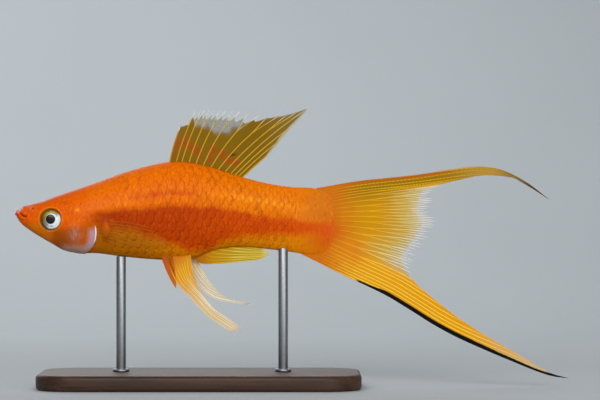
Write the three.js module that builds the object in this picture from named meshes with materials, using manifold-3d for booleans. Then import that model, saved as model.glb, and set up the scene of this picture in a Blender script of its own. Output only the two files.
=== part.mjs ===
// A life-size still model of a male swordtail, a small orange aquarium fish, on a plain display stand.
// Millimetres, +Z up. The snout points along -X and the floor is at Z = 0 under the middle of the base.
import * as THREE from "three";
import { mergeVertices } from "three/addons/utils/BufferGeometryUtils.js";
import Module from "manifold-3d";

const wasm = await Module();
wasm.setup();

// Driving dimensions, in millimetres.
const bodyLength = 69; // snout to tail base
const gap = 0.3; // clearance between pieces that touch
const swordClearance = 2; // floor to the lowest point of the sword

// The fish is drawn in hundredths of its body length: x from the snout, z from the body axis.
const unit = bodyLength / 100;
const mm = 1 / unit; // one millimetre in those hundredths
const balanceX = 59.3; // stands over the middle of the base
const swordDrop = 52.3; // from the body axis down to the tip of the sword
const axisHeight = swordDrop * unit + swordClearance;

// Colours and finishes.
const fleshOrange = new THREE.MeshStandardMaterial({ color: "#e8690c", roughness: 0.42, metalness: 0 });
const gillOrange = new THREE.MeshStandardMaterial({ color: "#d8640f", roughness: 0.4, metalness: 0 });
const finAmber = new THREE.MeshStandardMaterial({ color: "#c99312", roughness: 0.45, metalness: 0 });
const swordGold = new THREE.MeshStandardMaterial({ color: "#f09a10", roughness: 0.45, metalness: 0 });
const clearFin = new THREE.MeshStandardMaterial({ color: "#d9c08a", roughness: 0.4, metalness: 0 });
const eyeSilver = new THREE.MeshStandardMaterial({ color: "#cfd2c8", roughness: 0.15, metalness: 0.1 });
const standWood = new THREE.MeshStandardMaterial({ color: "#3a2c22", roughness: 0.5, metalness: 0 });
const rodSteel = new THREE.MeshStandardMaterial({ color: "#b9bcc0", roughness: 0.3, metalness: 1 });

// A smooth function through [place, value] rows: a cubic whose slope at each row comes from its neighbours.
function smooth(rows) {
  const slope = rows.map((_, i) => {
    const [before, after] = [rows[Math.max(i - 1, 0)], rows[Math.min(i + 1, rows.length - 1)]];
    return (after[1] - before[1]) / (after[0] - before[0]);
  });
  return (place) => {
    const last = rows.length - 2;
    const found = rows.findIndex((row, i) => i <= last && place <= rows[i + 1][0]);
    const i = found < 0 ? last : found;
    const span = rows[i + 1][0] - rows[i][0];
    const t = THREE.MathUtils.clamp((place - rows[i][0]) / span, 0, 1);
    const [t2, t3] = [t * t, t * t * t];
    return (
      rows[i][1] * (2 * t3 - 3 * t2 + 1) +
      slope[i] * span * (t3 - 2 * t2 + t) +
      rows[i + 1][1] * (3 * t2 - 2 * t3) +
      slope[i + 1] * span * (t3 - t2)
    );
  };
}

// The same for [place, x, z] rows: a curve in the side view.
function smoothCurve(rows) {
  const alongX = smooth(rows.map(([place, x]) => [place, x]));
  const alongZ = smooth(rows.map(([place, , z]) => [place, z]));
  return (place) => new THREE.Vector2(alongX(place), alongZ(place));
}

// Solids from triangles, and back.
function toSolid(geometry) {
  const bare = geometry.clone();
  bare.deleteAttribute("normal");
  bare.deleteAttribute("uv");
  const merged = mergeVertices(bare, 1e-4);
  const mesh = new wasm.Mesh({
    numProp: 3,
    vertProperties: merged.attributes.position.array,
    triVerts: new Uint32Array(merged.index.array),
  });
  return new wasm.Manifold(mesh);
}

function toGeometry(solid) {
  const mesh = solid.getMesh();
  const geometry = new THREE.BufferGeometry();
  geometry.setAttribute("position", new THREE.Float32BufferAttribute(mesh.vertProperties, 3));
  geometry.setIndex(new THREE.Uint32BufferAttribute(mesh.triVerts, 1));
  geometry.computeVertexNormals();
  return geometry;
}

function largest(solid) {
  return solid.decompose().reduce((best, body) => (body.volume() > best.volume() ? body : best));
}

function triangles(points, faces) {
  const geometry = new THREE.BufferGeometry();
  const numbers = points.flatMap((p) => [p.x, p.y, p.z]);
  geometry.setAttribute("position", new THREE.Float32BufferAttribute(numbers, 3));
  geometry.setIndex(faces);
  return geometry;
}

// A closed skin over rings of equal count, with a point at each end.
function loft(rings, nose, tail) {
  const count = rings[0].length;
  const points = [...rings.flat(), nose, tail];
  const [noseIndex, tailIndex] = [points.length - 2, points.length - 1];
  const lastRing = (rings.length - 1) * count;
  const faces = [];
  for (let j = 0; j < count; j++) {
    const k = (j + 1) % count;
    for (let i = 0; i < rings.length - 1; i++) {
      const [a, b] = [i * count, (i + 1) * count];
      faces.push(a + j, b + j, a + k, a + k, b + j, b + k);
    }
    faces.push(noseIndex, j, k, tailIndex, lastRing + k, lastRing + j);
  }
  return toSolid(triangles(points, faces));
}

// A side-view outline pushed through the whole width of the fish.
const past = { width: 20, depth: 24, snout: -9, tail: 130 }; // places clear of the body on every side

function sideCut(outline) {
  const shape = new THREE.Shape(outline.map(([x, z]) => new THREE.Vector2(x, z)));
  const geometry = new THREE.ExtrudeGeometry(shape, { depth: 2 * past.width, bevelEnabled: false });
  geometry.rotateX(Math.PI / 2);
  geometry.translate(0, past.width, 0);
  return toSolid(geometry);
}

// Body: back, belly and half width along the fish, and how square the crown of the head is.
const bodyRows = [
  { x: -2.0, back: 3.1, belly: 2.1, half: 0.9 },
  { x: -1.4, back: 3.85, belly: 1.0, half: 1.9 },
  { x: -0.5, back: 4.05, belly: -0.3, half: 2.7 },
  { x: 0.4, back: 5.1, belly: -1.2, half: 3.2 },
  { x: 3, back: 5.8, belly: -3.1, half: 4.1 },
  { x: 6.5, back: 6.7, belly: -5.3, half: 5.1 },
  { x: 10, back: 8.0, belly: -7.3, half: 6.0 },
  { x: 14, back: 9.4, belly: -9.5, half: 6.8 },
  { x: 19, back: 11.1, belly: -10.4, half: 7.6 },
  { x: 25, back: 13.2, belly: -10.5, half: 8.2 },
  { x: 33, back: 16.1, belly: -11.5, half: 8.7 },
  { x: 41, back: 18.4, belly: -12.3, half: 8.7 },
  { x: 49, back: 20.0, belly: -12.7, half: 8.2 },
  { x: 56.5, back: 19.7, belly: -12.3, half: 7.3 },
  { x: 64, back: 17.9, belly: -9.4, half: 6.1 },
  { x: 72, back: 15.4, belly: -8.4, half: 5.0 },
  { x: 81, back: 13.0, belly: -9.0, half: 4.0 },
  { x: 90, back: 11.6, belly: -10.1, half: 3.0 },
  { x: 97, back: 11.2, belly: -10.9, half: 2.1 },
  { x: 102, back: 9.4, belly: -9.8, half: 1.4 },
  { x: 105, back: 6.4, belly: -7.2, half: 1.0 },
];
const along = (key) => smooth(bodyRows.map((row) => [row.x, row[key]]));
const [backAt, bellyAt, halfAt] = [along("back"), along("belly"), along("half")];
const crownAt = smooth([[-2, 0.8], [10, 0.72], [28, 0.95], [105, 1]]);
const keel = 1.12; // pinches the lower half towards the belly
const shoulder = 0.08; // lifts the widest level a little over the middle
const [noseX, tailX] = [bodyRows[0].x, bodyRows.at(-1).x];
const caps = { nose: 0.35, tail: 1.2 }; // the last rings close on a point this far on

const bodySides = 24; // points round each ring
const ringSteps = [[3, 0.6], [26, 1.8], [Infinity, 3.2]]; // up to this place, one ring every so much

function bodyRing(x, grow) {
  const [back, belly, half] = [backAt(x) + grow, bellyAt(x) - grow, halfAt(x) + grow];
  const crown = crownAt(x);
  return Array.from({ length: bodySides }, (_, j) => {
    const turn = (2 * Math.PI * j) / bodySides;
    const [up, out] = [Math.cos(turn), Math.sin(turn)];
    const rise = up > 0 ? up ** crown : up;
    const width = Math.abs(out) ** (up > 0 ? 1 : keel) * (1 + shoulder * up);
    const y = half * Math.sign(out) * width;
    return new THREE.Vector3(x, y, (back + belly) / 2 + ((back - belly) / 2) * rise);
  });
}

// The body as one solid, grown outwards by a few tenths where pieces are cut to stand off it.
function bodySolid(grow = 0) {
  const places = [];
  for (let x = noseX; x < tailX; x += ringSteps.find(([upTo]) => x < upTo)[1]) places.push(x);
  places.push(tailX);
  const rings = places.map((x) => bodyRing(x, grow));
  const nose = new THREE.Vector3(noseX - caps.nose - grow, 0, (backAt(noseX) + bellyAt(noseX)) / 2);
  const tail = new THREE.Vector3(tailX + caps.tail + grow, 0, (backAt(tailX) + bellyAt(tailX)) / 2);
  return loft(rings, nose, tail);
}

// Half width of the body at a point of its side view.
function flankAt(x, z) {
  const [back, belly] = [backAt(x), bellyAt(x)];
  const rise = THREE.MathUtils.clamp((z - (back + belly) / 2) / ((back - belly) / 2), -0.98, 0.98);
  const up = rise > 0 ? rise ** (1 / crownAt(x)) : rise;
  const out = Math.sqrt(1 - up * up);
  return halfAt(x) * out ** (up > 0 ? 1 : keel) * (1 + shoulder * up);
}

const body = bodySolid();
const clearOfBody = bodySolid(gap * mm);

// The gill cover's free edge, and the nape above it, part the head from the trunk.
const gillEdge = [[24, 3], [25, -0.5], [25.2, -4.5], [24.5, -7], [22.8, -9.2], [20.6, -10.8]];
const nape = [[23.4, past.depth], [23.4, 6]];
const throat = [[19.4, -past.depth]];
const headEdge = [...nape, ...gillEdge, ...throat];
const gillGap = 1.3 * gap * mm; // measured along the fish, where the edge slants
const trunkEnd = 74;
const stalkStart = trunkEnd + gap * mm;
const crossCut = (x) => [[x, -past.depth], [x, past.depth]];
const headSide = sideCut([...headEdge, ...crossCut(past.snout)]);
const trunkSide = sideCut([...headEdge.map(([x, z]) => [x + gillGap, z]), ...crossCut(trunkEnd)]);
const stalkSide = sideCut([...crossCut(stalkStart), ...crossCut(past.tail).reverse()]);

// Eyes: flattened balls, turned a little forwards, that stand out of their sockets.
const eye = { x: 9.7, z: 0.9, y: 4.95, radius: 3.75, depth: 2.0, turn: 0.13 };
const orbit = { radius: 4.9, depth: 1.6 }; // the swelling of the cheek round each socket

function eyeShape(side, { radius, depth }, grow = 0) {
  const geometry = new THREE.SphereGeometry(1, 18, 10);
  geometry.scale(radius + grow, radius + grow, depth + grow);
  geometry.rotateX(Math.PI / 2);
  geometry.rotateZ(side * eye.turn);
  geometry.translate(eye.x, side * eye.y, eye.z);
  return toSolid(geometry);
}

// The mouth: an upturned cleft, from its corner to the tip of the snout, between two lips.
const mouthLine = [[2.1, 1.6], [1.2, 2.5], [0.1, 3.4], [-1.0, 4.9]];
const lips = [
  { proud: 0.16, reach: 1.15 },
  { proud: 0.32, reach: 0.75 },
];
const slitReach = 0.5 * gap * mm;
const overrun = 0.6; // how far a band goes past its ends, in its own reaches

// A line in the side view widened to both sides, and a little past its ends.
function band(line, reach) {
  const points = line.map((p) => new THREE.Vector2(...p));
  const above = [];
  const below = [];
  points.forEach((point, i) => {
    const [before, after] = [points[Math.max(i - 1, 0)], points[Math.min(i + 1, points.length - 1)]];
    const ahead = after.clone().sub(before).setLength(reach);
    const across = new THREE.Vector2(-ahead.y, ahead.x);
    const end = i === 0 ? -1 : i === points.length - 1 ? 1 : 0;
    above.push(point.clone().add(across).addScaledVector(ahead, end * overrun));
    below.push(point.clone().sub(across).addScaledVector(ahead, end * overrun));
  });
  return [...above, ...below.reverse()].map((p) => [p.x, p.y]);
}

function lipSolid({ proud, reach }) {
  return bodySolid(proud).intersect(sideCut(band(mouthLine, reach)));
}

const nostril = { x: 4.0, z: 4.3, radius: 0.42 };

function nostrilPit(side) {
  const pit = new THREE.SphereGeometry(nostril.radius, 8, 6);
  pit.translate(nostril.x, side * flankAt(nostril.x, nostril.z), nostril.z);
  return toSolid(pit);
}

// Each gill cover is a plate raised on the cheek, in two low steps.
const gillPlates = [
  { proud: 0.2, front: [[14.2, -10.9], [12.6, -8.2], [12.7, -3.2], [14.8, 1.0], [19.4, 3.4]] },
  { proud: 0.42, front: [[15.8, -10.9], [14.2, -8.2], [14.3, -3.6], [16.3, 0], [20.0, 2.6]] },
];

function gillPlate({ proud, front }) {
  const outline = new THREE.SplineCurve([...gillEdge, ...front].map(([x, z]) => new THREE.Vector2(x, z)));
  return bodySolid(proud).intersect(sideCut(outline.getPoints(20).map((p) => [p.x, p.y])));
}

function headSolid() {
  let head = body;
  for (const piece of [...lips.map(lipSolid), ...gillPlates.map(gillPlate)]) head = head.add(piece);
  head = head.subtract(sideCut(band(mouthLine, slitReach))).intersect(headSide);
  for (const side of [-1, 1]) {
    const socket = eyeShape(side, eye, gap * mm);
    head = head.add(eyeShape(side, orbit)).subtract(socket).subtract(nostrilPit(side));
  }
  return largest(head);
}

function trunkSolid() {
  const trunk = body.add(pectoralPad(-1)).add(pectoralPad(1)).intersect(trunkSide);
  return largest(trunk);
}

// A fin as one closed sheet. path(v) gives the ray at v, from the leading edge 0 to the trailing edge 1,
// as a function of u that runs from its root 0 to its tip 1 in the side view. side(point, u) is the sheet's
// distance from the fish's middle plane. Rays are ridges on both faces, and reach past the membrane by the
// fringe, a share of their length. The thickness of ray, membrane and tip is in millimetres.
const footing = 0.3; // half width of a ray's foot, in ray spacings

function finSheet({ rays, steps, path, side = () => 0, fringe = () => 0, ray, membrane, tip = 0.3 }) {
  const [front, back] = [[], []];
  for (let column = 0; column < 3 * rays; column++) {
    const foot = (column % 3) - 1;
    const v = (Math.floor(column / 3) + footing * (1 + foot)) / (rays - 1 + 2 * footing);
    const [along, reach] = [path(v), foot === 0 ? 1 : 1 - fringe(v)];
    for (let step = 0; step <= steps; step++) {
      const u = (step / steps) * reach;
      const point = along(u);
      const thickness = THREE.MathUtils.lerp(foot === 0 ? ray : membrane, tip, u ** 2);
      const half = (thickness * mm) / 2;
      const y = side(point, u);
      front.push(new THREE.Vector3(point.x, y - half, point.y));
      back.push(new THREE.Vector3(point.x, y + half, point.y));
    }
  }
  const [rows, other, columns] = [steps + 1, front.length, 3 * rays];
  const quads = [];
  for (let c = 0; c < columns - 1; c++) {
    const [a, b] = [c * rows, (c + 1) * rows];
    for (let r = 0; r < steps; r++) {
      quads.push([a + r, a + r + 1, b + r + 1, b + r]);
      quads.push([other + b + r + 1, other + a + r + 1, other + a + r, other + b + r]);
    }
    quads.push([a, b, other + b, other + a]);
    quads.push([b + steps, a + steps, other + a + steps, other + b + steps]);
  }
  const last = (columns - 1) * rows;
  for (let r = 0; r < steps; r++) {
    quads.push([r + 1, r, other + r, other + r + 1]);
    quads.push([last + r, last + r + 1, other + last + r + 1, other + last + r]);
  }
  return closedSheet([...front, ...back], quads);
}

// Splits each quad along its first diagonal, and turns the whole sheet round if it came out facing inwards.
function closedSheet(points, quads) {
  const outward = toSolid(triangles(points, quads.flatMap(([a, b, c, d]) => [a, b, c, a, c, d])));
  if (outward.volume() > 0) return outward;
  return toSolid(triangles(points, quads.flatMap(([a, b, c, d]) => [a, c, b, a, d, c])));
}

// A ray that swells to one side of the straight line from root to end by the bow.
function bowed(root, end, bow) {
  const chord = end.clone().sub(root);
  const across = new THREE.Vector2(-chord.y, chord.x).normalize();
  return (u) => root.clone().addScaledVector(chord, u).addScaledVector(across, bow * 4 * u * (1 - u));
}

// A ray that copies the guide's curve as far as its own tip, moved to start at its own root.
const guideSteps = 120;
function guided(guide, root, tip) {
  let end = 0;
  for (let i = 1; i <= guideSteps; i++) {
    const next = i / guideSteps;
    if (guide.getPointAt(next).distanceTo(tip) < guide.getPointAt(end).distanceTo(tip)) end = next;
  }
  const start = root.clone().sub(guide.getPointAt(0));
  const finish = tip.clone().sub(guide.getPointAt(end));
  return (u) => guide.getPointAt(u * end).add(start.clone().lerp(finish, u));
}

const spline = (rows) => new THREE.SplineCurve(rows.map(([x, z]) => new THREE.Vector2(x, z)));
const sunk = 2.2; // how deep a root starts under the skin, before it is cut back to the surface
const rooted = (sheet) => largest(sheet.subtract(clearOfBody));

// A root line along the back or the belly, from one place to another.
const alongBack = (from, to) => (v) => {
  const x = THREE.MathUtils.lerp(from, to, v);
  return new THREE.Vector2(x, backAt(x) - sunk);
};
const alongBelly = (from, to) => (v) => {
  const x = THREE.MathUtils.lerp(from, to, v);
  return new THREE.Vector2(x, bellyAt(x) + sunk);
};

// Dorsal fin: a tall fan whose last rays draw out into a long point.
const dorsalRoot = alongBack(48.9, 72.6);
const dorsalEdge = smoothCurve([
  [0, 53.0, 32.3],
  [0.09, 58.0, 37.2],
  [0.3, 64.5, 37.1],
  [0.5, 73.0, 36.7],
  [0.66, 83.0, 36.2],
  [0.84, 95.1, 37.8],
  [0.92, 90.0, 31.2],
  [1, 83.3, 23.6],
]);
const dorsalWave = { height: 0.9, turns: 0.16 };

function dorsalFin() {
  const sheet = finSheet({
    rays: 13,
    steps: 9,
    path: (v) => bowed(dorsalRoot(v), dorsalEdge(v), THREE.MathUtils.lerp(0.5, 1.3, v)),
    side: (point, u) => dorsalWave.height * Math.sin(point.x * dorsalWave.turns) * u ** 2,
    fringe: (v) => (v < 0.7 ? 0.1 : 0.03),
    ray: 0.85,
    membrane: 0.5,
  });
  return rooted(sheet);
}

// Tail fin: the top edge runs out into a curved streamer and the bottom edge into the long, straight sword.
const streamerGuide = spline([
  [98, 11.2],
  [112, 13.4],
  [130, 15.4],
  [143.5, 17.0],
  [151, 18.0],
  [163.6, 15.9],
  [176.3, 7.1],
]);
const swordGuide = spline([
  [92.4, -10.4],
  [105.3, -16.7],
  [120.7, -24],
  [128.9, -28.9],
  [138, -34.6],
  [147, -39.3],
  [163.5, -46.4],
  [176, -51.2],
  [182.5, -52.2],
]);
const tailRoot = smoothCurve([
  [0, 98, 11.2],
  [0.25, 101, 6.6],
  [0.5, 102, 0],
  [0.75, 98.5, -6.4],
  [1, 92.4, -10.4],
]);
const tailEdge = smoothCurve([
  [0, 176.3, 7.1],
  [0.06, 164.7, 14.3],
  [0.12, 154.7, 15.4],
  [0.18, 145.7, 13.9],
  [0.25, 140.4, 12.0],
  [0.32, 137.5, 7.7],
  [0.4, 137.2, 3],
  [0.47, 138.3, -1],
  [0.54, 135.7, -6],
  [0.61, 131.8, -11.6],
  [0.66, 130.6, -15.6],
  [0.7, 132.2, -20.8],
  [0.76, 141, -28.7],
  [0.83, 152.7, -36.8],
  [0.9, 166, -44.5],
  [0.96, 176, -50.3],
  [1, 182.5, -52.2],
]);

const [fanTop, fanBottom] = [0.265, 0.675]; // where the fan meets the streamer and the sword

function tailPath(v) {
  const upper = guided(streamerGuide, tailRoot(v), tailEdge(v));
  const lower = guided(swordGuide, tailRoot(v), tailEdge(v));
  const share = THREE.MathUtils.smoothstep(v, fanTop, fanBottom);
  return (u) => upper(u).lerp(lower(u), share);
}

const tailSway = { width: 2.4, from: 100, turns: 0.035 };
const swayAt = (point) => tailSway.width * Math.sin(Math.max(point.x - tailSway.from, 0) * tailSway.turns);

// One lobe of the tail, kept half a gap inside the lines where it meets its neighbours.
function tailPiece({ from, to, ...more }) {
  const edges = [from, to].map((edge) => {
    if (edge === 0 || edge === 1) return () => edge;
    const inward = edge === from ? 0.02 : -0.02;
    const [here, near] = [tailPath(edge), tailPath(edge + inward)];
    return (u) => edge + (inward * gap * mm) / (2 * here(u).distanceTo(near(u)));
  });
  return rooted(
    finSheet({
      path: (v) => (u) => tailPath(THREE.MathUtils.lerp(edges[0](u), edges[1](u), v))(u),
      side: swayAt,
      ray: 1.0,
      membrane: 0.55,
      ...more,
    }),
  );
}

const tailStreamer = () => tailPiece({ from: 0, to: fanTop, rays: 5, steps: 15 });
const tailFan = () => tailPiece({ from: fanTop, to: fanBottom, rays: 13, steps: 6, fringe: () => 0.07 });
const tailSword = () => tailPiece({ from: fanBottom, to: 1, rays: 5, steps: 15, membrane: 0.65 });

// Gonopodium: the male's anal fin, folded into a narrow blade that points back under the belly.
const gonopodiumLower = smoothCurve([
  [0, 56.5, -10],
  [0.16, 59.2, -13.5],
  [0.35, 64.3, -13.8],
  [0.65, 72.7, -13.2],
  [0.9, 79.4, -12.4],
  [1, 81.6, -11.3],
]);
const gonopodiumUpper = smoothCurve([
  [0, 66.5, -7],
  [0.3, 69, -9.1],
  [0.6, 74, -9.2],
  [0.9, 79.6, -9.5],
  [1, 81.6, -10],
]);
const gonopodiumRound = new THREE.Vector2(2, 0); // how far its end swells past its corners

function gonopodium() {
  const sheet = finSheet({
    rays: 4,
    steps: 10,
    path: (v) => (u) => {
      const point = gonopodiumLower(u).lerp(gonopodiumUpper(u), v);
      return point.addScaledVector(gonopodiumRound, v * (1 - v) * u ** 4);
    },
    ray: 1.1,
    membrane: 0.75,
    tip: 0.5,
  });
  return rooted(sheet);
}

// Pelvic fins: a short stiff first ray in front of a long blade, whose clear tip trails behind.
const pelvicPoses = {
  left: {
    side: -1,
    root: [48.2, 54.6],
    guide: [[48.2, -10.4], [52.1, -20.1], [57.1, -25.6], [61.6, -30.6], [66.3, -34.1], [71.8, -37.8]],
    edge: [
      [0, 71.8, -37.8],
      [0.15, 73.1, -36.3],
      [0.3, 72.6, -34.4],
      [0.5, 67.7, -31.4],
      [0.65, 62.1, -27],
      [0.8, 59.3, -22.9],
      [1, 57.4, -17.5],
    ],
  },
  right: {
    side: 1,
    root: [50.2, 57.2],
    guide: [[50.2, -10.4], [54.3, -16.8], [58.2, -21.7], [63.8, -25.6], [71, -27.2], [77, -28]],
    edge: [
      [0, 77, -28],
      [0.07, 77.2, -27.7],
      [0.13, 77, -27.4],
      [0.22, 72, -26.6],
      [0.4, 69, -25.9],
      [0.6, 65.2, -23],
      [0.8, 62.3, -19.5],
      [1, 59.6, -15.3],
    ],
  },
};
const pelvic = { inset: 2.2, splay: 0.15, firstRay: { back: 1.4, reach: [3.8, -21.8], width: 0.9 } };

function pelvicFin({ side, root, guide, edge }) {
  const [rootAt, guideCurve, edgeAt] = [alongBelly(...root), spline(guide), smoothCurve(edge)];
  const lean = (point) => side * (pelvic.inset + pelvic.splay * Math.max(guide[0][1] - point.y, 0));
  const blade = finSheet({
    rays: 6,
    steps: 8,
    path: (v) => guided(guideCurve, rootAt(v), edgeAt(v)),
    side: lean,
    ray: 0.85,
    membrane: 0.5,
  });
  const { back, reach, width } = pelvic.firstRay;
  const firstRoot = alongBelly(root[0] - back, root[0] + back);
  const firstEnd = new THREE.Vector2(root[0] + reach[0], reach[1]);
  const firstRay = finSheet({
    rays: 2,
    steps: 5,
    path: (v) => bowed(firstRoot(v), firstEnd.clone().addScalar(v * width), -0.5),
    side: lean,
    ray: 1.0,
    membrane: 0.8,
  });
  return rooted(blade.add(firstRay));
}

// Pectoral fins: small clear fans that lie back along the flanks, each on a fleshy pad of the trunk.
const pectoral = { x: 27.4, top: 0.2, bottom: -5.4, bow: [0.8, -0.6] };
const pad = { ahead: 0.6, long: 1.9, proud: 1.1, tall: 3.5 };
const pectoralEdge = smoothCurve([[0, 44.0, -2.2], [0.3, 49.6, -6.2], [0.55, 48.6, -8.6], [1, 37.5, -8.4]]);
const offFlank = smooth([[0, -1.6], [0.14, 0.9], [0.5, 2.1], [1, 3.2]]); // from root to tip

function pectoralPad(side, grow = 0) {
  const geometry = new THREE.SphereGeometry(1, 14, 8);
  geometry.scale(pad.long + grow, pad.proud + grow, pad.tall + grow);
  const z = (pectoral.top + pectoral.bottom) / 2;
  geometry.translate(pectoral.x + pad.ahead, side * flankAt(pectoral.x, z), z);
  return toSolid(geometry);
}

function pectoralFin(side) {
  const sheet = finSheet({
    rays: 8,
    steps: 8,
    path: (v) => {
      const root = new THREE.Vector2(pectoral.x, THREE.MathUtils.lerp(pectoral.top, pectoral.bottom, v));
      return bowed(root, pectoralEdge(v), THREE.MathUtils.lerp(...pectoral.bow, v));
    },
    side: (point, u) => side * (flankAt(point.x, point.y) + offFlank(u)),
    fringe: () => 0.04,
    ray: 0.75,
    membrane: 0.5,
  });
  return largest(sheet.subtract(clearOfBody).subtract(pectoralPad(side, gap * mm)));
}

// Display stand: a flat base and two rods that end just under the belly and the tail stalk.
const base = { length: 74, width: 36, height: 3.6, corner: 9, bevel: 0.7 };
const rod = { radius: 1.1, sunk: 2.4, places: { front: 33, rear: 87 } };

function rodSolid(x, radius, low, high) {
  const geometry = new THREE.CylinderGeometry(radius, radius, high - low, 12);
  geometry.rotateX(Math.PI / 2);
  geometry.translate((x - balanceX) * unit, 0, (low + high) / 2);
  return toSolid(geometry);
}

function standBase() {
  const [halfLength, halfWidth] = [base.length / 2 - base.bevel, base.width / 2 - base.bevel];
  const [cx, cy] = [halfLength - base.corner, halfWidth - base.corner];
  const shape = new THREE.Shape();
  shape.absarc(cx, cy, base.corner, 0, Math.PI / 2, false);
  shape.absarc(-cx, cy, base.corner, Math.PI / 2, Math.PI, false);
  shape.absarc(-cx, -cy, base.corner, Math.PI, 1.5 * Math.PI, false);
  shape.absarc(cx, -cy, base.corner, 1.5 * Math.PI, 2 * Math.PI, false);
  const geometry = new THREE.ExtrudeGeometry(shape, {
    depth: base.height - 2 * base.bevel,
    curveSegments: 5,
    bevelSize: base.bevel,
    bevelThickness: base.bevel,
    bevelSegments: 1,
  });
  geometry.translate(0, 0, base.bevel);
  let solid = toSolid(geometry);
  for (const x of Object.values(rod.places)) {
    solid = solid.subtract(rodSolid(x, rod.radius + gap, base.height - rod.sunk - gap, base.height + 1));
  }
  return solid;
}

function standRod(x) {
  const bodyInPlace = clearOfBody.scale([unit, unit, unit]).translate([-balanceX * unit, 0, axisHeight]);
  const top = bellyAt(x) * unit + axisHeight + 1;
  return largest(rodSolid(x, rod.radius, base.height - rod.sunk, top).subtract(bodyInPlace));
}

// Assembly: the fish's group turns hundredths of its length into millimetres and sets it over the base.
const model = new THREE.Group();
const fish = new THREE.Group();
fish.scale.setScalar(unit);
fish.position.set(-balanceX * unit, 0, axisHeight);
model.add(fish);

function add(group, name, solid, material) {
  const mesh = new THREE.Mesh(toGeometry(solid), material);
  mesh.name = name;
  group.add(mesh);
}

add(fish, "head", headSolid(), gillOrange);
add(fish, "trunk", trunkSolid(), fleshOrange);
add(fish, "tail_stalk", largest(body.intersect(stalkSide)), fleshOrange);
for (const [name, side] of [["left", -1], ["right", 1]]) {
  add(fish, `eye_${name}`, eyeShape(side, eye), eyeSilver);
  add(fish, `pectoral_fin_${name}`, pectoralFin(side), clearFin);
  add(fish, `pelvic_fin_${name}`, pelvicFin(pelvicPoses[name]), finAmber);
}
add(fish, "dorsal_fin", dorsalFin(), finAmber);
add(fish, "tail_fin_streamer", tailStreamer(), finAmber);
add(fish, "tail_fin_fan", tailFan(), finAmber);
add(fish, "tail_fin_sword", tailSword(), swordGold);
add(fish, "gonopodium", gonopodium(), finAmber);
add(model, "stand_base", standBase(), standWood);
add(model, "stand_rod_front", standRod(rod.places.front), rodSteel);
add(model, "stand_rod_rear", standRod(rod.places.rear), rodSteel);

export default model;
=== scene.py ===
# A life-size museum model of a male swordtail, a small orange aquarium fish, on a plain display stand.
import math
import random
from bisect import bisect

import bmesh
import bpy
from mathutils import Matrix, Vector


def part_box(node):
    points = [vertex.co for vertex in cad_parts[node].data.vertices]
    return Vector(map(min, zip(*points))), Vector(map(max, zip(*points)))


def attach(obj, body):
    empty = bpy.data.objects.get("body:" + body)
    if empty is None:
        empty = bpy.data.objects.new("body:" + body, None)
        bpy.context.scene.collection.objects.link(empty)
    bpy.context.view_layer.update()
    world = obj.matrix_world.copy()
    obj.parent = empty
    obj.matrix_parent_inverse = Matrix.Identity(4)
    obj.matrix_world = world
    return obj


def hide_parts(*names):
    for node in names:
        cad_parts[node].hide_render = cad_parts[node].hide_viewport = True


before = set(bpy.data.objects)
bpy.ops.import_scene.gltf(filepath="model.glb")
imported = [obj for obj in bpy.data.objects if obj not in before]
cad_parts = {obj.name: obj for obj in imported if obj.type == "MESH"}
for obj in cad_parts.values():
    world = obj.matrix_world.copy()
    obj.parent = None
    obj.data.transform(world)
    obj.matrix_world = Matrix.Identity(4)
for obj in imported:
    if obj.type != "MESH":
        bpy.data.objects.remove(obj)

bpy.ops.object.select_all(action="DESELECT")
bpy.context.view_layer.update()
print("frame loaded with", len(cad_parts), "nodes")

# The fish is laid out in hundredths of its body length: x back from the snout, z up from the body axis,
# y negative on the left flank. The stand's rods and the eyes say where that grid lies in the frame.
layout = {"frontRod": 33, "rearRod": 87, "eyeHeight": 0.9}


def middleOf(node):
    low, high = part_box(node)
    return (low + high) / 2


frontRod, rearRod = middleOf("stand_rod_front"), middleOf("stand_rod_rear")
unit = (rearRod.x - frontRod.x) / (layout["rearRod"] - layout["frontRod"])
mm = 0.001 / unit  # one millimetre in those hundredths
eyeZ = middleOf("eye_left").z
origin = Vector((frontRod.x - layout["frontRod"] * unit, 0, eyeZ - layout["eyeHeight"] * unit))


def inFrame(point):
    return origin + point * unit


# Small functions that shape everything below

def lerp(low, high, share):
    return low + (high - low) * share


def rise(low, high, value):  # eases from 0 at low to 1 at high
    t = min(max((value - low) / (high - low), 0), 1)
    return t * t * (3 - 2 * t)


def hump(value, centre, width):
    return math.exp(-(((value - centre) / width) ** 2))


def smooth(rows):  # a function through (place, value) rows
    places, values = [row[0] for row in rows], [row[1] for row in rows]
    last = len(rows) - 1
    slopes = []
    for i in range(last + 1):
        before, after = max(i - 1, 0), min(i + 1, last)
        slopes.append((values[after] - values[before]) / (places[after] - places[before]))

    def valueAt(place):
        i = min(max(bisect(places, place) - 1, 0), last - 1)
        span = places[i + 1] - places[i]
        t = min(max((place - places[i]) / span, 0), 1)
        start = values[i] * (1 + t * t * (2 * t - 3)) + slopes[i] * span * t * (1 - t) ** 2
        return start + values[i + 1] * t * t * (3 - 2 * t) + slopes[i + 1] * span * t * t * (t - 1)

    return valueAt


def curve(rows):  # a curve in the side view through (place, x, z) rows
    alongX = smooth([(row[0], row[1]) for row in rows])
    alongZ = smooth([(row[0], row[2]) for row in rows])
    return lambda place: Vector((alongX(place), 0, alongZ(place)))


def guide(rows):  # a curve through (x, z) rows, from 0 to 1 by its length
    lengths = [0]
    for here, there in zip(rows, rows[1:]):
        lengths.append(lengths[-1] + math.dist(here, there))
    return curve([(length / lengths[-1], *row) for length, row in zip(lengths, rows)])


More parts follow.
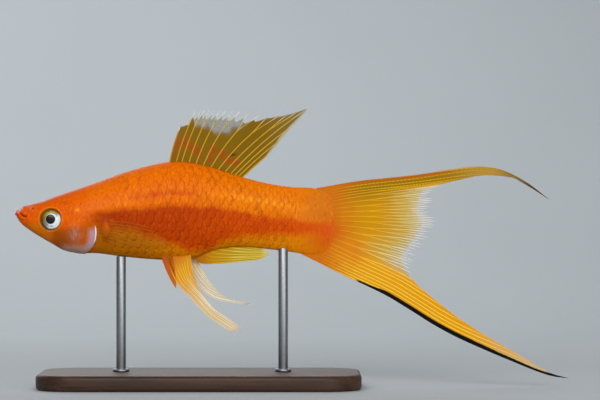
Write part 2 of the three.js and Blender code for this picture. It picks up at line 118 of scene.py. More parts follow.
# Body: back, belly and half width along the fish, as the CAD body has them
body = {
    "rows": [  # x, back, belly, half width
        (-2.0, 3.1, 2.1, 0.9), (-1.4, 3.85, 1.0, 1.9), (-0.5, 4.05, -0.3, 2.7), (0.4, 5.1, -1.2, 3.2),
        (3, 5.8, -3.1, 4.1), (6.5, 6.7, -5.3, 5.1), (10, 8.0, -7.3, 6.0), (14, 9.4, -9.5, 6.8),
        (19, 11.1, -10.4, 7.6), (25, 13.2, -10.5, 8.2), (33, 16.1, -11.5, 8.7), (41, 18.4, -12.3, 8.7),
        (49, 20.0, -12.7, 8.2), (56.5, 19.7, -12.3, 7.3), (64, 17.9, -9.4, 6.1), (72, 15.4, -8.4, 5.0),
        (81, 13.0, -9.0, 4.0), (90, 11.6, -10.1, 3.0), (97, 11.2, -10.9, 2.1), (102, 9.4, -9.8, 1.4),
        (105, 6.4, -7.2, 1.0),
    ],
    "crown": [(-2, 0.8), (10, 0.72), (28, 0.95), (105, 1)],  # how square the top of the head is
    "keel": 1.12,  # above 1 the underside is sharper than an oval
    "shoulder": 0.08,  # how much wider the upper half is, and the lower half narrower
    "noseCap": 0.35,  # how far the rounded ends reach beyond the first and the last row
    "tailCap": 1.5,
    "tailThin": (90, 105.5, 0.02),  # the tail base thins between these places, to this share
    "step": (0.04, 0.02),  # how far to each side, in x and in turn, the surface's way is measured
    "sway": (2.4, 100, 0.035),  # how the tail swings to the right: how far, from where, how fast
}
backAt, bellyAt, halfAt = (smooth([(row[0], row[i]) for row in body["rows"]]) for i in (1, 2, 3))
crownAt = smooth(body["crown"])
noseX, tailX = body["rows"][0][0], body["rows"][-1][0]


def swayAt(x):
    width, start, turns = body["sway"]
    return width * math.sin(max(x - start, 0) * turns)


def ringPoint(x, turn):  # turn is 0 on the back, a quarter circle on the right flank, half a circle below
    inside = min(max(x, noseX), tailX)
    past = (noseX - x) / body["noseCap"] if x < noseX else (x - tailX) / body["tailCap"]
    cap = math.sqrt(max(1 - max(past, 0) ** 2, 0))
    thinFrom, thinTo, thinShare = body["tailThin"]
    half = halfAt(inside) * cap * lerp(1, thinShare, rise(thinFrom, thinTo, x))
    middle, tall = (backAt(inside) + bellyAt(inside)) / 2, (backAt(inside) - bellyAt(inside)) / 2 * cap
    up, out = math.cos(turn), math.sin(turn)
    width = abs(out) ** (1 if up > 0 else body["keel"]) * (1 + body["shoulder"] * up)
    height = up ** crownAt(x) if up > 0 else up
    return Vector((x, math.copysign(half * width, out) + swayAt(x), middle + tall * height))


# Head: what stands proud of the plain body, in the side view and alike on both sides
head = {
    "eye": {"x": 9.95, "y": 4.95, "z": layout["eyeHeight"], "radius": 3.75, "depth": 2.0, "turn": 0.13},
    "socket": {"radius": 3.68, "deep": 1.7, "rim": 4.1, "rimWidth": 0.35, "rimProud": 0.12, "wall": 0.45},
    "mouthEnds": 6,  # the relief of the lips and the nostrils ends here
    "eyeEnds": 16,  # and that of the eye's socket here
    "gillSpan": (12, 27),  # the gill cover's relief lies between these
    "mouth": [(1.7, 1.75), (0.6, 1.95), (-0.1, 2.6), (-0.7, 3.7), (-1.1, 5.0)],  # corner to tip
    "lips": {"reach": 0.75, "width": 0.4, "proud": 0.22, "slit": 0.24, "deep": 0.8},
    "nostril": {"x": 3.9, "z": 4.5, "rim": 0.48, "rimWidth": 0.3, "proud": 0.08, "pit": 0.24, "deep": 0.5},
    "gillEdge": [(-14, 17.5), (-10.8, 20.6), (-9.2, 22.8), (-7, 24.5), (-4.5, 25.2), (-0.5, 25.0),
                 (3, 24.0), (6, 23.4), (14, 23.4)],  # height, x of the free edge of the gill cover
    "gillFront": [(-14, 16.2), (-10.9, 15.2), (-8.2, 13.6), (-3.2, 13.6), (1, 15.4), (3.4, 19.0),
                  (6, 21.5)],
    "gillProud": 0.44,
    "gillGrows": 5,  # over this length behind its front
    "gillFoot": (-11.5, -8.5),  # below this the cover lies flatter
    "footShare": 0.35,  # and has this share of its height
    "gillTop": (-1.5, 5.0),  # the free edge fades into the nape between these heights
    "cheekGroove": {"width": 0.9, "deep": 0.12, "behind": 2.6},
    "armPad": {"x": 28.3, "z": -2.6, "long": 1.7, "tall": 3.3, "proud": 0.85, "steep": 1.4},
}
edgeAt, frontAt = smooth(head["gillEdge"]), smooth(head["gillFront"])
mouthAt = guide(head["mouth"])
mouthSteps = 24
mouthLine = [mouthAt(i / mouthSteps) for i in range(mouthSteps + 1)]


def mouthGap(x, z):  # distance from the line of the mouth
    return min(math.hypot(x - point.x, z - point.z) for point in mouthLine)


def gillOpen(z):  # 1 where the gill cover's edge is free
    return (1 - rise(*head["gillTop"], z)) * lerp(head["footShare"], 1, rise(*head["gillFoot"], z))


def relief(x, z, covered):  # how far the skin stands out from the plain body
    lift = 0.0
    eye, socket, lips, nostril, pad = (head[key] for key in ("eye", "socket", "lips", "nostril", "armPad"))
    if x < head["mouthEnds"]:
        gap = mouthGap(x, z)
        lift += lips["proud"] * hump(gap, lips["reach"], lips["width"])
        lift -= lips["deep"] * hump(gap, 0, lips["slit"])
        pit = math.hypot(x - nostril["x"], z - nostril["z"])
        lift += nostril["proud"] * hump(pit, nostril["rim"], nostril["rimWidth"])
        lift -= nostril["deep"] * hump(pit, 0, nostril["pit"])
    if x < head["eyeEnds"]:
        away = math.hypot(x - eye["x"], z - eye["z"])
        lift += socket["rimProud"] * hump(away, socket["rim"], socket["rimWidth"])
        lift -= socket["deep"] * (1 - rise(socket["radius"] - socket["wall"], socket["radius"], away))
    if covered and head["gillSpan"][0] < x < head["gillSpan"][1]:
        behind = x - frontAt(z)
        lift += head["gillProud"] * rise(0, head["gillGrows"], behind) * gillOpen(z)
        groove = head["cheekGroove"]
        lift -= groove["deep"] * hump(behind, groove["behind"], groove["width"]) * gillOpen(z)
    if not covered:
        lean = math.hypot((x - pad["x"]) / pad["long"], (z - pad["z"]) / pad["tall"])
        lift += pad["proud"] * math.exp(-pad["steep"] * lean**4)  # flat on top
    return lift


def skinFrame(x, turn):  # a point of the plain body and the way its surface faces
    stepX, stepTurn = body["step"]
    alongX = ringPoint(x + stepX, turn) - ringPoint(x - stepX, turn)
    around = ringPoint(x, turn + stepTurn) - ringPoint(x, turn - stepTurn)
    outward = alongX.cross(around)
    if outward.length < 1e-7:
        outward = Vector((-1 if x < 0 else 1, 0, 0))
    return ringPoint(x, turn), outward.normalized()


def skinAt(x, turn, lift):  # a point over the skin behind the gill cover
    point, outward = skinFrame(x, turn)
    return point + outward * (lift + relief(point.x, point.z, False))


# Materials: plain arithmetic on a socket adds its Math nodes, and a colour is written as picked on screen

class Term:
    def __init__(self, paint, socket):
        self.paint, self.socket = paint, socket

    def __add__(self, other):
        return self.paint.math("ADD", self, other)

    def __sub__(self, other):
        return self.paint.math("SUBTRACT", self, other)

    def __rsub__(self, other):
        return self.paint.math("SUBTRACT", other, self)

    def __mul__(self, other):
        return self.paint.math("MULTIPLY", self, other)

    def __truediv__(self, other):
        return self.paint.math("DIVIDE", self, other)

    def __pow__(self, other):
        return self.paint.math("POWER", self, other)

    __radd__, __rmul__ = __add__, __mul__

    def rise(self, low, high):  # eases from 0 at low to 1 at high
        ends = {0: self, 1: low, 2: high}
        return self.paint.add("MapRange", {"interpolation_type": "SMOOTHSTEP"}, ends)

    def fall(self, low, high):
        return 1 - self.rise(low, high)

    def hump(self, centre, width):
        return self.paint.math("EXPONENT", ((self - centre) / width) ** 2 * -1)

    def follow(self, rows):  # a number that changes with this one, through (place, value) rows
        places, values = [row[0] for row in rows], [row[1] for row in rows]
        low, high = min(values), max(values)
        spots = [((p - places[0]) / (places[-1] - places[0]), (v - low) / (high - low)) for p, v in rows]
        share = self.paint.add("MapRange", inputs={0: self, 1: places[0], 2: places[-1]})
        bent = self.paint.add("FloatCurve", {"points": spots}, {"Value": share})
        return bent * (high - low) + low


def tint(code):  # a colour picked on screen, as the light that a shader works with
    parts = [int(code[i : i + 2], 16) / 255 for i in (1, 3, 5)]
    return (*(p / 12.92 if p <= 0.04045 else ((p + 0.055) / 1.055) ** 2.4 for p in parts), 1.0)


class Paint:
    def __init__(self, name):
        self.material = bpy.data.materials.new(name)
        self.material.use_nodes = True
        self.tree = self.material.node_tree
        self.tree.nodes.clear()

    def add(self, kind, settings=None, inputs=None, out=0):  # any node, from its type, settings and sockets
        node = self.tree.nodes.new("ShaderNode" + kind)
        for name, value in (settings or {}).items():
            if name == "points":
                line = node.mapping.curves[0]
                for spot in value[1:-1]:
                    line.points.new(*spot)
                line.points[0].location, line.points[-1].location = value[0], value[-1]
                node.mapping.update()
            else:
                setattr(node, name, value)
        for name, value in (inputs or {}).items():
            if isinstance(value, Term):
                self.tree.links.new(value.socket, node.inputs[name])
            else:
                node.inputs[name].default_value = tint(value) if isinstance(value, str) else value
        return Term(self, node.outputs[out] if node.outputs else None)

    def math(self, operation, first, second=0.0):
        return self.add("Math", {"operation": operation}, {0: first, 1: second})

    def where(self):
        return self.add("TexCoord", out="Object")

    def inUnits(self, centre=origin, turn=0):  # a place in the fish's own hundredths, with its x and z
        place = self.add("Mapping", {"vector_type": "TEXTURE"}, {
            "Vector": self.where(), "Location": centre, "Rotation": (0, 0, turn), "Scale": [unit] * 3})
        x, y, z = self.split(place)
        return place, x, z

    def onMap(self, name):  # the two directions of a piece's own map
        return self.split(self.add("UVMap", {"uv_map": name}))[:2]

    def split(self, vector):
        first = self.add("SeparateXYZ", inputs={"Vector": vector})
        return [Term(self, socket) for socket in first.socket.node.outputs]

    def spot(self, x, z, atX, wide, atZ, tall):  # a soft oval
        return x.hump(atX, wide) * z.hump(atZ, tall)

    def distance(self, first, second):
        return self.math("SQRT", first * first + second * second)

    def noise(self, vector, scale, detail, stretch=None):
        if stretch:
            vector = self.add("Mapping", inputs={"Vector": vector, "Scale": stretch})
        return self.add("TexNoise", inputs={"Vector": vector, "Scale": scale, "Detail": detail})

    def mix(self, first, second, share):
        return self.add("Mix", {"data_type": "RGBA"}, {0: share, 6: first, 7: second}, out=2)

    def coats(self, colour, *layers):  # lays colours over each other, each with its share
        for layer, share in layers:
            colour = self.mix(colour, layer, share)
        return colour

    def gloss(self, colour, roughness, specular, coat, coatRoughness, bump, **more):  # a finished material
        height, distance, strength = bump
        normal = self.add("Bump", inputs={"Height": height, "Distance": distance, "Strength": strength})
        return self.finish(self.add("BsdfPrincipled", inputs={
            "Base Color": colour, "Roughness": roughness, "Specular IOR Level": specular,
            "Coat Weight": coat, "Coat Roughness": coatRoughness, "Normal": normal, **more}))

    def finish(self, shader):
        self.add("OutputMaterial", inputs={"Surface": shader})
        return self.material


# Flesh colours: golden back, red-orange band along the flank, brown-amber belly, silver on the gill cover
flesh = {
    "back": "#e16702",
    "crest": "#df7000",
    "bandFront": "#a63100",
    "bandRear": "#cb4702",
    "belly": "#bd6e02",
    "bellyRear": "#d47c02",
    "head": "#d85602",
    "snout": "#d04a08",
    "jaw": "#cc7404",
    "snoutHighlight": "#dc8058",
    "cheek": "#95480a",
    "darkStreakAndShade": "#7d3006",
    "arm": "#cf5a10",
    "silver": "#b29484",
    "lilac": "#bc9fae",
    # rim: the white of a painted highlight along the gill cover's free edge
    "rim": "#f4f0f8",
    "gold": "#ff9a0c",
    "glint": "#ffac20",
    "root": "#c56a02",
    "rootLow": "#c25202",
    "rootRed": "#cc4a02",
    "lip": "#d8340e",
    "lipHighlight": "#efc8a8",
    # slit: the dark of the painted shade in the mouth's cleft, the nostrils and the eye's socket
    "slit": "#4a1204",
    "tick": "#701e00",
    "bandTop": [(20, 3.2), (32, 4.2), (44, 5.2), (55, 5.7), (68, 4.5), (81, 2.2), (94, 0.6), (107, -0.2)],
    "bandFoot": [(20, -1.2), (33, -1.9), (44, -4.8), (52, -7.8), (60, -9.2), (66, -6.6), (73, -5.0),
                 (94, -4.4), (107, -5.2)],
    "goldLine": [(30, 6.8), (52, 8.2), (60, 8.7), (67, 8.7), (76, 7.3), (83, 6.2), (92, 5.0), (107, 4.4)],
    "redLine": [(30, 8.0), (43, 8.6), (52, 9.6), (63, 8.4), (76, 7.0)],
    "rootSpot": (102.5, 5.5, -3.8, 4.0),  # a red patch on the tail base, which the fin repeats
    "specular": 0.035,
    "coat": 0.03,
}


# In the paints, rise, fall, hump and spot take places and widths in the fish's hundredths where they follow
# x or z, and shares where they follow a noise or a map. A layer's last factor says how strongly it covers.
def fleshColour(paint):
    place, x, z = paint.inUnits()
    cloud = paint.noise(place, 0.16, 3) - 0.5
    height = z + cloud * 3.0
    top, foot = x.follow(flesh["bandTop"]), x.follow(flesh["bandFoot"])
    lower = (height - foot).fall(-2.4, 1.8)
    band = (height - foot).rise(-1.8, 2.2) * (height - top).fall(-1.6, 1.2)
    band = band * x.rise(17, 30) * x.fall(100, 110)
    thread = (height - x.follow(flesh["redLine"])).hump(0.0, 0.9) * x.hump(50, 14)
    line = (z - x.follow(flesh["goldLine"])).hump(0.0, 1.3) * x.rise(50, 72)
    low = z.fall(-6.5, -2.5) * x.hump(101.5, 5.0)
    front = (x + cloud * 5).fall(14, 27)
    jaw = (z + cloud).fall(-1.8, 0.6) * x.rise(1.0, 3.0) * x.fall(9, 12)
    jowl = (z + cloud * 2).fall(-3.8, -0.8) * x.rise(8.5, 12.5) * front
    mottle = paint.noise(place, 0.8, 2, (1.6, 1.6, 0.7))
    streak = paint.noise(place, 0.9, 3, (2.6, 2.6, 0.8))
    pale = streak.fall(0.32, 0.47) * (1 - lower) * (1 - band * 0.65)
    belly = paint.mix(flesh["belly"], flesh["bellyRear"], x.rise(30, 62))
    colour = paint.coats(
        flesh["back"],
        (flesh["crest"], x.rise(50, 75)),
        (belly, lower * x.rise(18, 26)),
        (paint.mix(flesh["bandFront"], flesh["bandRear"], x.rise(26, 84)), band),
        # painted shade: a dark patch on the flank just behind the gill cover's free edge
        (flesh["darkStreakAndShade"], paint.spot(x, z + cloud * 4, 27.6, 3.6, -3.0, 5.5) * 0.5),
        (flesh["arm"], paint.spot(x, z, 29.4, 1.7, -1.6, 2.0) * 0.6),
        (flesh["bandRear"], thread * 0.8),
        (flesh["gold"], line * x.fall(92, 100) * 0.3),
        (flesh["root"], x.rise(88, 101) * (1 - band * 0.75) * 0.85),
        (flesh["rootLow"], low * 0.4),
        (flesh["rootRed"], paint.spot(x, z + cloud * 2, *flesh["rootSpot"]) * 0.7),
        (flesh["head"], front),
        (flesh["jaw"], jaw * 0.75),
        (flesh["cheek"], jowl * 0.9),
        # painted shade: a darker patch on the gill cover behind the silver bar
        (flesh["cheek"], paint.spot(x, z, 22.0, 2.0, -1.6, 2.2) * 0.4),
        (flesh["snout"], x.fall(1.5, 6.5) * z.rise(0.5, 3.5) * 0.75),
        # painted highlight: a pinkish pale patch on top of the snout, near the nostril
        (flesh["snoutHighlight"], paint.spot(x, z, 2.8, 1.3, 4.9, 0.8) * 0.5),
        (flesh["bandFront"], mottle.rise(0.52, 0.72) * 0.4),
        (flesh["darkStreakAndShade"], streak.rise(0.55, 0.72) * band * 0.3),
        (flesh["gold"], pale * 0.3),
    )
    roughness = (paint.noise(place, 1.1, 3) - 0.5) * 0.3 + 0.45
    return place, x, z, colour, roughness


def gillSilver(paint, colour, place, x, z):
    edge = x - z.follow(head["gillEdge"])
    grain = paint.noise(place, 1.5, 4)
    smear = paint.noise(place, 0.9, 3, (1.5, 1.5, 0.5))
    plate = z.fall(1.6, 4.0) * edge.rise(-13, -9) * edge.fall(0.0, 0.12)
    bar = paint.spot(x, z, 18.1, 1.9, -4.2, 2.8) * (smear.rise(0.3, 0.72) * 0.7 + 0.2)
    crescent = edge.rise(-3.6, -1.2) * z.fall(-4.0, -1.2) * plate
    foot = (z + (grain - 0.5) * 2).fall(-9.0, -6.6) * x.rise(11, 15) * plate
    # brink: a thin white line along the gill cover's free edge, a painted highlight
    brink = edge.rise(-0.45, -0.22) * plate
    brink = brink * z.rise(-7.4, -5.6) * z.fall(-2.4, -0.8)
    return paint.coats(
        colour,
        (flesh["silver"], bar * 0.7),
        (flesh["lilac"], crescent * (grain * 0.6 + 0.45)),
        (flesh["silver"], foot * 0.7),
        (flesh["rim"], brink * 0.95),
    )


def skinPaint():
    paint = Paint("orangeSkin")
    place, x, z, colour, roughness = fleshColour(paint)
    eye, nostril = head["eye"], head["nostril"]
    away = paint.distance(x - eye["x"], z - eye["z"])
    pit = paint.distance(x - nostril["x"], z - nostril["z"])
    # slit: painted shade along the cleft of the mouth
    slit = (z - x.follow(sorted(head["mouth"][:3]))).hump(0.0, 0.2)
    slit = slit * x.rise(-0.6, 0.0) * x.fall(1.5, 2.0)
    # painted highlight: pale spots on the upper lip's front
    lipHighlight = paint.spot(x, z, 0.15, 0.4, 4.5, 0.6) + paint.spot(x, z, -1.1, 0.4, 3.3, 0.45)
    colour = paint.coats(
        gillSilver(paint, colour, place, x, z),
        (flesh["gold"], paint.spot(x, z, 18.9, 0.7, 4.0, 0.5) * 0.8),
        (flesh["gold"], away.hump(4.0, 0.25) * 0.25),
        # painted shade inside the eye's socket, round the eyeball
        (flesh["slit"], away.fall(3.5, 3.75)),
        (flesh["slit"], slit * 0.85),
        (flesh["lip"], paint.spot(x, z, -1.4, 1.1, 2.4, 1.0) * 0.7),
        (flesh["lipHighlight"], lipHighlight * 0.5),
        # painted shade in the nostril's pit
        (flesh["slit"], pit.fall(0.1, 0.42) * 0.8),
    )
    grain = paint.noise(place, 3.2, 4) * 0.6 + paint.noise(place, 0.9, 2) * 0.4
    softness = {"Subsurface Weight": 0.05, "Subsurface Radius": (1.0, 0.3, 0.05), "Subsurface Scale": 0.0006}
    bump = (grain, 0.00005, 0.7)
    return paint.gloss(colour, roughness, flesh["specular"], flesh["coat"], 0.1, bump, **softness)


def scalePaint():
    paint = Paint("orangeScales")
    place, x, z, colour, roughness = fleshColour(paint)
    across, along = paint.onMap("ScaleMap")
    tone = paint.add("Attribute", {"attribute_name": "tone"}, out="Fac")
    centre = paint.math("ABSOLUTE", across - 0.5) * 2
    bulge = centre * centre
    red = (x.follow(flesh["bandTop"]) - z).rise(-2.0, 1.5) * x.fall(92, 102)
    brink = (along + bulge * 0.18).rise(0.84, 1.0)
    tick = paint.spot(centre, along, 0.0, 0.3, 0.68, 0.13)
    grown = x.rise(20, 32) * x.fall(86, 96)
    line = (z - x.follow(flesh["goldLine"])).hump(0.0, 1.1)
    line = line * (x.rise(60, 76) * 0.7 + 0.25)
    glint = paint.spot(along, centre, 0.74, 0.11, 0.0, 0.3) * line * x.fall(90, 97)
    colour = paint.coats(
        colour,
        (flesh["tick"], (brink * 0.1 + tick * 0.3) * (0.3 + red * 0.7) * grown),
        (flesh["gold"], along.hump(0.5, 0.14) * (1 - bulge) * 0.12),
        (flesh["glint"], glint * 0.65),
        (flesh["tick"], tone.rise(0.1, 1.0) * grown * 0.16),
        (flesh["gold"], (tone * -1).rise(0.3, 1.0) * grown * (1 - red * 0.8) * 0.14),
    )
    ridges = paint.math("SINE", along * 70 + bulge * 9) * 0.5 + paint.noise(place, 3.0, 3) * 0.6
    return paint.gloss(colour, roughness, flesh["specular"], flesh["coat"], 0.1, (ridges, 0.00002, 0.5))


# Mesh helpers

def newPiece(name):  # names the primitive that was just added
    piece = bpy.context.object
    piece.name = piece.data.name = name
    return piece


def ownPlace(piece):  # leaves only this piece selected and active
    bpy.ops.object.select_all(action="DESELECT")
    piece.select_set(True)
    bpy.context.view_layer.objects.active = piece
    return piece


def gridPiece(name, across, along, place):  # a flat grid whose points go to place(u, v)
    bpy.ops.mesh.primitive_grid_add(x_subdivisions=across, y_subdivisions=along, size=1)
    piece = newPiece(name)
    piece.data.uv_layers[0].name = "FinMap"
    for vertex in piece.data.vertices:
        vertex.co = place(vertex.co.y + 0.5, vertex.co.x + 0.5)
    return piece


def applyModifier(piece, kind, **settings):
    ownPlace(piece)
    modifier = piece.modifiers.new(kind.title(), kind)
    for name, value in settings.items():
        setattr(modifier, name, value)
    bpy.ops.object.modifier_apply(modifier=modifier.name)


def closeSeams(piece, reach):
    ownPlace(piece)
    bpy.ops.object.mode_set(mode="EDIT")
    bpy.ops.mesh.select_all(action="SELECT")
    bpy.ops.mesh.remove_doubles(threshold=reach)
    bpy.ops.mesh.normals_make_consistent(inside=False)
    bpy.ops.object.mode_set(mode="OBJECT")


def addCopy(shapes, mesh):  # adds a mesh to one that grows, and gives the new vertices and faces
    firstVertex, firstFace = len(shapes.verts), len(shapes.faces)
    shapes.from_mesh(mesh)
    shapes.verts.ensure_lookup_table()
    shapes.faces.ensure_lookup_table()
    return shapes.verts[firstVertex:], shapes.faces[firstFace:]


def joinAll(name, pieces):
    bpy.ops.object.select_all(action="DESELECT")
    for piece in pieces:
        piece.select_set(True)
    bpy.context.view_layer.objects.active = pieces[0]
    bpy.ops.object.join()
    pieces[0].name = pieces[0].data.name = name
    return pieces[0]


def setOut(piece, slot, *nodes):  # rides with the fish and stands for the nodes, which it hides; slot is not used
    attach(piece, "root")
    if nodes:
        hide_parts(*nodes)


def turnFor(x, z):  # the turn, on the right flank, at which the body reaches a height
    low, high = 0.0, math.pi
    for step in range(24):
        middle = (low + high) / 2
        if ringPoint(x, middle).z > z:
            low = middle
        else:
            high = middle
    return low


# Skin: one smooth surface for head, trunk and stalk, with its rings bent to follow the gill cover's edge
skin = {
    "around": 160,
    "foldFrom": 24.2,  # after this station come the rings of the fold
    "stations": [  # from, to, step
        (-2.35, -1.85, 0.05), (-1.85, 3.2, 0.1), (3.2, 14, 0.22), (14, 24.2, 0.3), (25.4, 40, 0.42),
        (40, 100, 0.75), (100, 106.5, 0.24),
    ],
    "seam": 0.01,  # points nearer than this are one
    "gillRing": 24.5,
    "gillBend": 11,
    "fold": [  # ring, how far it tucks under the cover, share of the cover's height that is left
        (24.36, 0.0, 1.0), (24.5, 0.0, 1.0), (24.54, 0.02, 0.8), (24.57, 0.12, 0.5), (24.62, 0.34, 0.2),
        (24.7, 0.2, -0.25), (24.85, 0.0, -0.3), (25.1, 0.0, -0.12),
    ],
}


def skinRings():  # a station, how far it tucks in and how high the fold stands there
    rings = []
    for start, stop, step in skin["stations"]:
        count = round((stop - start) / step)
        rings += [(start + (stop - start) * i / count, 0.0, 0.0) for i in range(count)]
        if stop == skin["foldFrom"]:
            rings += [(stop, 0.0, 0.0)] + skin["fold"]
    return rings + [(tailX + body["tailCap"], 0.0, 0.0)]


def skinPoint(ring, turn):
    station, tuck, share = ring
    near = max(1 - ((station - skin["gillRing"]) / skin["gillBend"]) ** 2, 0) ** 2
    z = ringPoint(station, turn).z
    x = station + (edgeAt(z) - skin["gillRing"]) * near - tuck * gillOpen(z)
    point, outward = skinFrame(x, turn)
    covered = station <= skin["gillRing"]
    lift = relief(point.x, point.z, covered)
    if not covered:
        lift += head["gillProud"] * share * gillOpen(z)
    return point + outward * lift


def buildSkin():
    rings = skinRings()
    last = len(rings) - 1

    def place(u, v):
        return inFrame(skinPoint(rings[round(u * last)], 2 * math.pi * v))

    piece = gridPiece("skin", skin["around"], last, place)
    closeSeams(piece, skin["seam"] * unit)
    ownPlace(piece)
    bpy.ops.object.shade_smooth()
    piece.data.materials.append(skinPaint())
    setOut(piece, "flesh", "head", "trunk", "tail_stalk")
    print("skin:", len(piece.data.polygons), "faces")


buildSkin()

# Scales: thin overlapping plates in rows along the body, from the gill cover to the tail
scales = {
    "rows": 26,  # all round the body
    "pitch": [(14, 2.3), (30, 2.75), (60, 2.9), (80, 2.6), (104, 1.9)],
    "from": 0.4,  # how far behind the gill cover's edge the first ones root
    "napeFrom": 19,
    "to": 98.5,
    "long": 1.9,  # in pitches
    "wide": 1.06,  # half width, in row spacings
    "sunk": 0.1,
    "proud": 0.04,
    "thick": 0.022,
    "dome": 0.015,
    "buried": 0.2,  # how deep a scale lies where it has faded
    "fade": (17, 34),  # nape scales grow out of the skin between these places
    "fadeBack": (84, 97),
    "seed": 7,
    "jitter": 0.06,  # how far a scale may lie from its place in the row
    "patch": 0.003,  # how much of the bake's map one scale takes
    "faces": 5,
    "crowding": 0.55,  # below 1 the plate's faces crowd towards its brim
    "rounding": 2.3,  # 2 makes the plate a circle, and more leaves it squarer
    "padMargin": (1, 0.6),  # no scales grow on the pectoral fin's pad and this far round it
}
pitchAt = smooth(scales["pitch"])


def arcTable(x, steps=48):  # shares of the way from back to belly, and the turns where they are reached
    points = [ringPoint(min(x, tailX), math.pi * i / steps) for i in range(steps + 1)]
    lengths = [0]
    for here, there in zip(points, points[1:]):
        lengths.append(lengths[-1] + (there - here).length)
    return smooth([(length / lengths[-1], math.pi * i / steps) for i, length in enumerate(lengths)])


arcTables = {x: arcTable(x) for x in range(12, 108)}


def turnAt(x, share):  # share is 0 on the back, 1 on the belly, and negative on the left
    low = min(max(int(x), 12), 106)
    part = min(max(x - low, 0), 1)
    size = min(abs(share), 2 - abs(share))
    turn = lerp(arcTables[low](size), arcTables[low + 1](size), part)
    turn = turn if abs(share) <= 1 else 2 * math.pi - turn
    return math.copysign(turn, share)


def scaleTemplate():  # a rounded plate, 0 to 1 from root to brim and -1 to 1 across
    faces = scales["faces"]
    bpy.ops.mesh.primitive_grid_add(x_subdivisions=faces, y_subdivisions=faces, size=2)
    plate = bpy.context.object
    plate.data.uv_layers[0].name = "ScaleMap"
    for vertex in plate.data.vertices:
        t, s = (math.copysign(abs(value) ** scales["crowding"], value) for value in vertex.co.xy)
        wide, tall = (math.sqrt(1 - value * value / scales["rounding"]) for value in (s, t))
        vertex.co = (t * wide, 0.5 + 0.5 * s * tall, 0)
    applyModifier(plate, "SOLIDIFY", thickness=scales["thick"], offset=-1)
    return plate


def layScale(shapes, plateMesh, x, share, tone, maps):
    vertices, faces = addCopy(shapes, plateMesh)
    reach, half = pitchAt(x) * scales["long"], 2 * scales["wide"] / scales["rows"]
    grown = rise(*scales["fade"], x) * (1 - rise(*scales["fadeBack"], x))
    for vertex in vertices:
        across, along, thick = vertex.co
        spot = x + (along - 0.5) * reach
        turn = turnAt(spot, share + across * half)
        lift = lerp(-scales["sunk"], scales["proud"] * grown, along)
        lift += scales["dome"] * grown * (1 - across * across) - scales["buried"] * (1 - grown) ** 2
        vertex[maps["tone"]] = tone
        vertex.co = inFrame(skinAt(min(spot, tailX + 0.6), turn, lift + thick))
        vertex[maps["across"]], vertex[maps["along"]] = across, along
    left, low, patch = (x - 10) / 100, 0.5 + share / 2.2, scales["patch"]  # its place on the bake's map
    for face in faces:
        face.smooth = True
        for loop in face.loops:
            across, along = loop.vert[maps["across"]], loop.vert[maps["along"]]
            loop[maps["scale"]].uv = (across / 2 + 0.5, along)
            loop[maps["bake"]].uv = (left + (along - 0.5) * patch, low + across / 2 * patch)


def buildScales():
    draw = random.Random(scales["seed"])
    plate = scaleTemplate()
    shapes = bmesh.new()
    shapes.from_mesh(plate.data)
    maps = {
        "tone": shapes.verts.layers.float.new("tone"),
        "across": shapes.verts.layers.float.new("across"),
        "along": shapes.verts.layers.float.new("along"),
        "scale": shapes.loops.layers.uv["ScaleMap"],
        "bake": shapes.loops.layers.uv.new("OFBake"),
    }
    bmesh.ops.delete(shapes, geom=list(shapes.verts), context="VERTS")
    pad = head["armPad"]
    padLong, padTall = pad["long"] + scales["padMargin"][0], pad["tall"] + scales["padMargin"][1]
    stops = []
    x = scales["napeFrom"]
    while x < scales["to"]:
        stops.append(x)
        x += pitchAt(x)
    count = 0
    for row in range(scales["rows"]):
        share = 2 * row / scales["rows"]
        share = share if share <= 1 else share - 2
        for stop in stops:
            spot = stop + (row % 2) * pitchAt(stop) / 2
            height = ringPoint(spot, turnAt(spot, share)).z
            jitter = draw.uniform(-scales["jitter"], scales["jitter"])
            tone = draw.uniform(-1, 1)
            lean = math.hypot((spot - pad["x"]) / padLong, (height - pad["z"]) / padTall)
            start = edgeAt(height) + scales["from"]
            if (height < head["gillTop"][1] and spot < start) or lean < 1 or spot > scales["to"]:
                continue
            layScale(shapes, plate.data, spot + jitter, share, tone, maps)
            count += 1
    shapes.to_mesh(plate.data)
    shapes.free()
    plate.name = plate.data.name = "scales"
    plate.data.materials.append(scalePaint())
    setOut(plate, "flesh")
    print("scales:", count, "plates,", len(plate.data.polygons), "faces")


buildScales()

# Eyes: flattened balls with a silver iris
eyes = {
    "around": 72,
    "rings": 36,
    "pupil": 1.6,
    "pupilBack": 0.3,
    "bright": "#dde2e4",
    "silver": "#7d7f78",
    "yellow": "#b89c1e",
    "fleck": "#4f6f86",
    "brown": "#85660f",
    "umber": "#5c3c0c",
    "rim": "#3a2008",
    "gold": "#a35f12",
    "black": "#0b0608",
}


def eyeSpot(side):
    eye = head["eye"]
    return inFrame(Vector((eye["x"], side * eye["y"], eye["z"])))


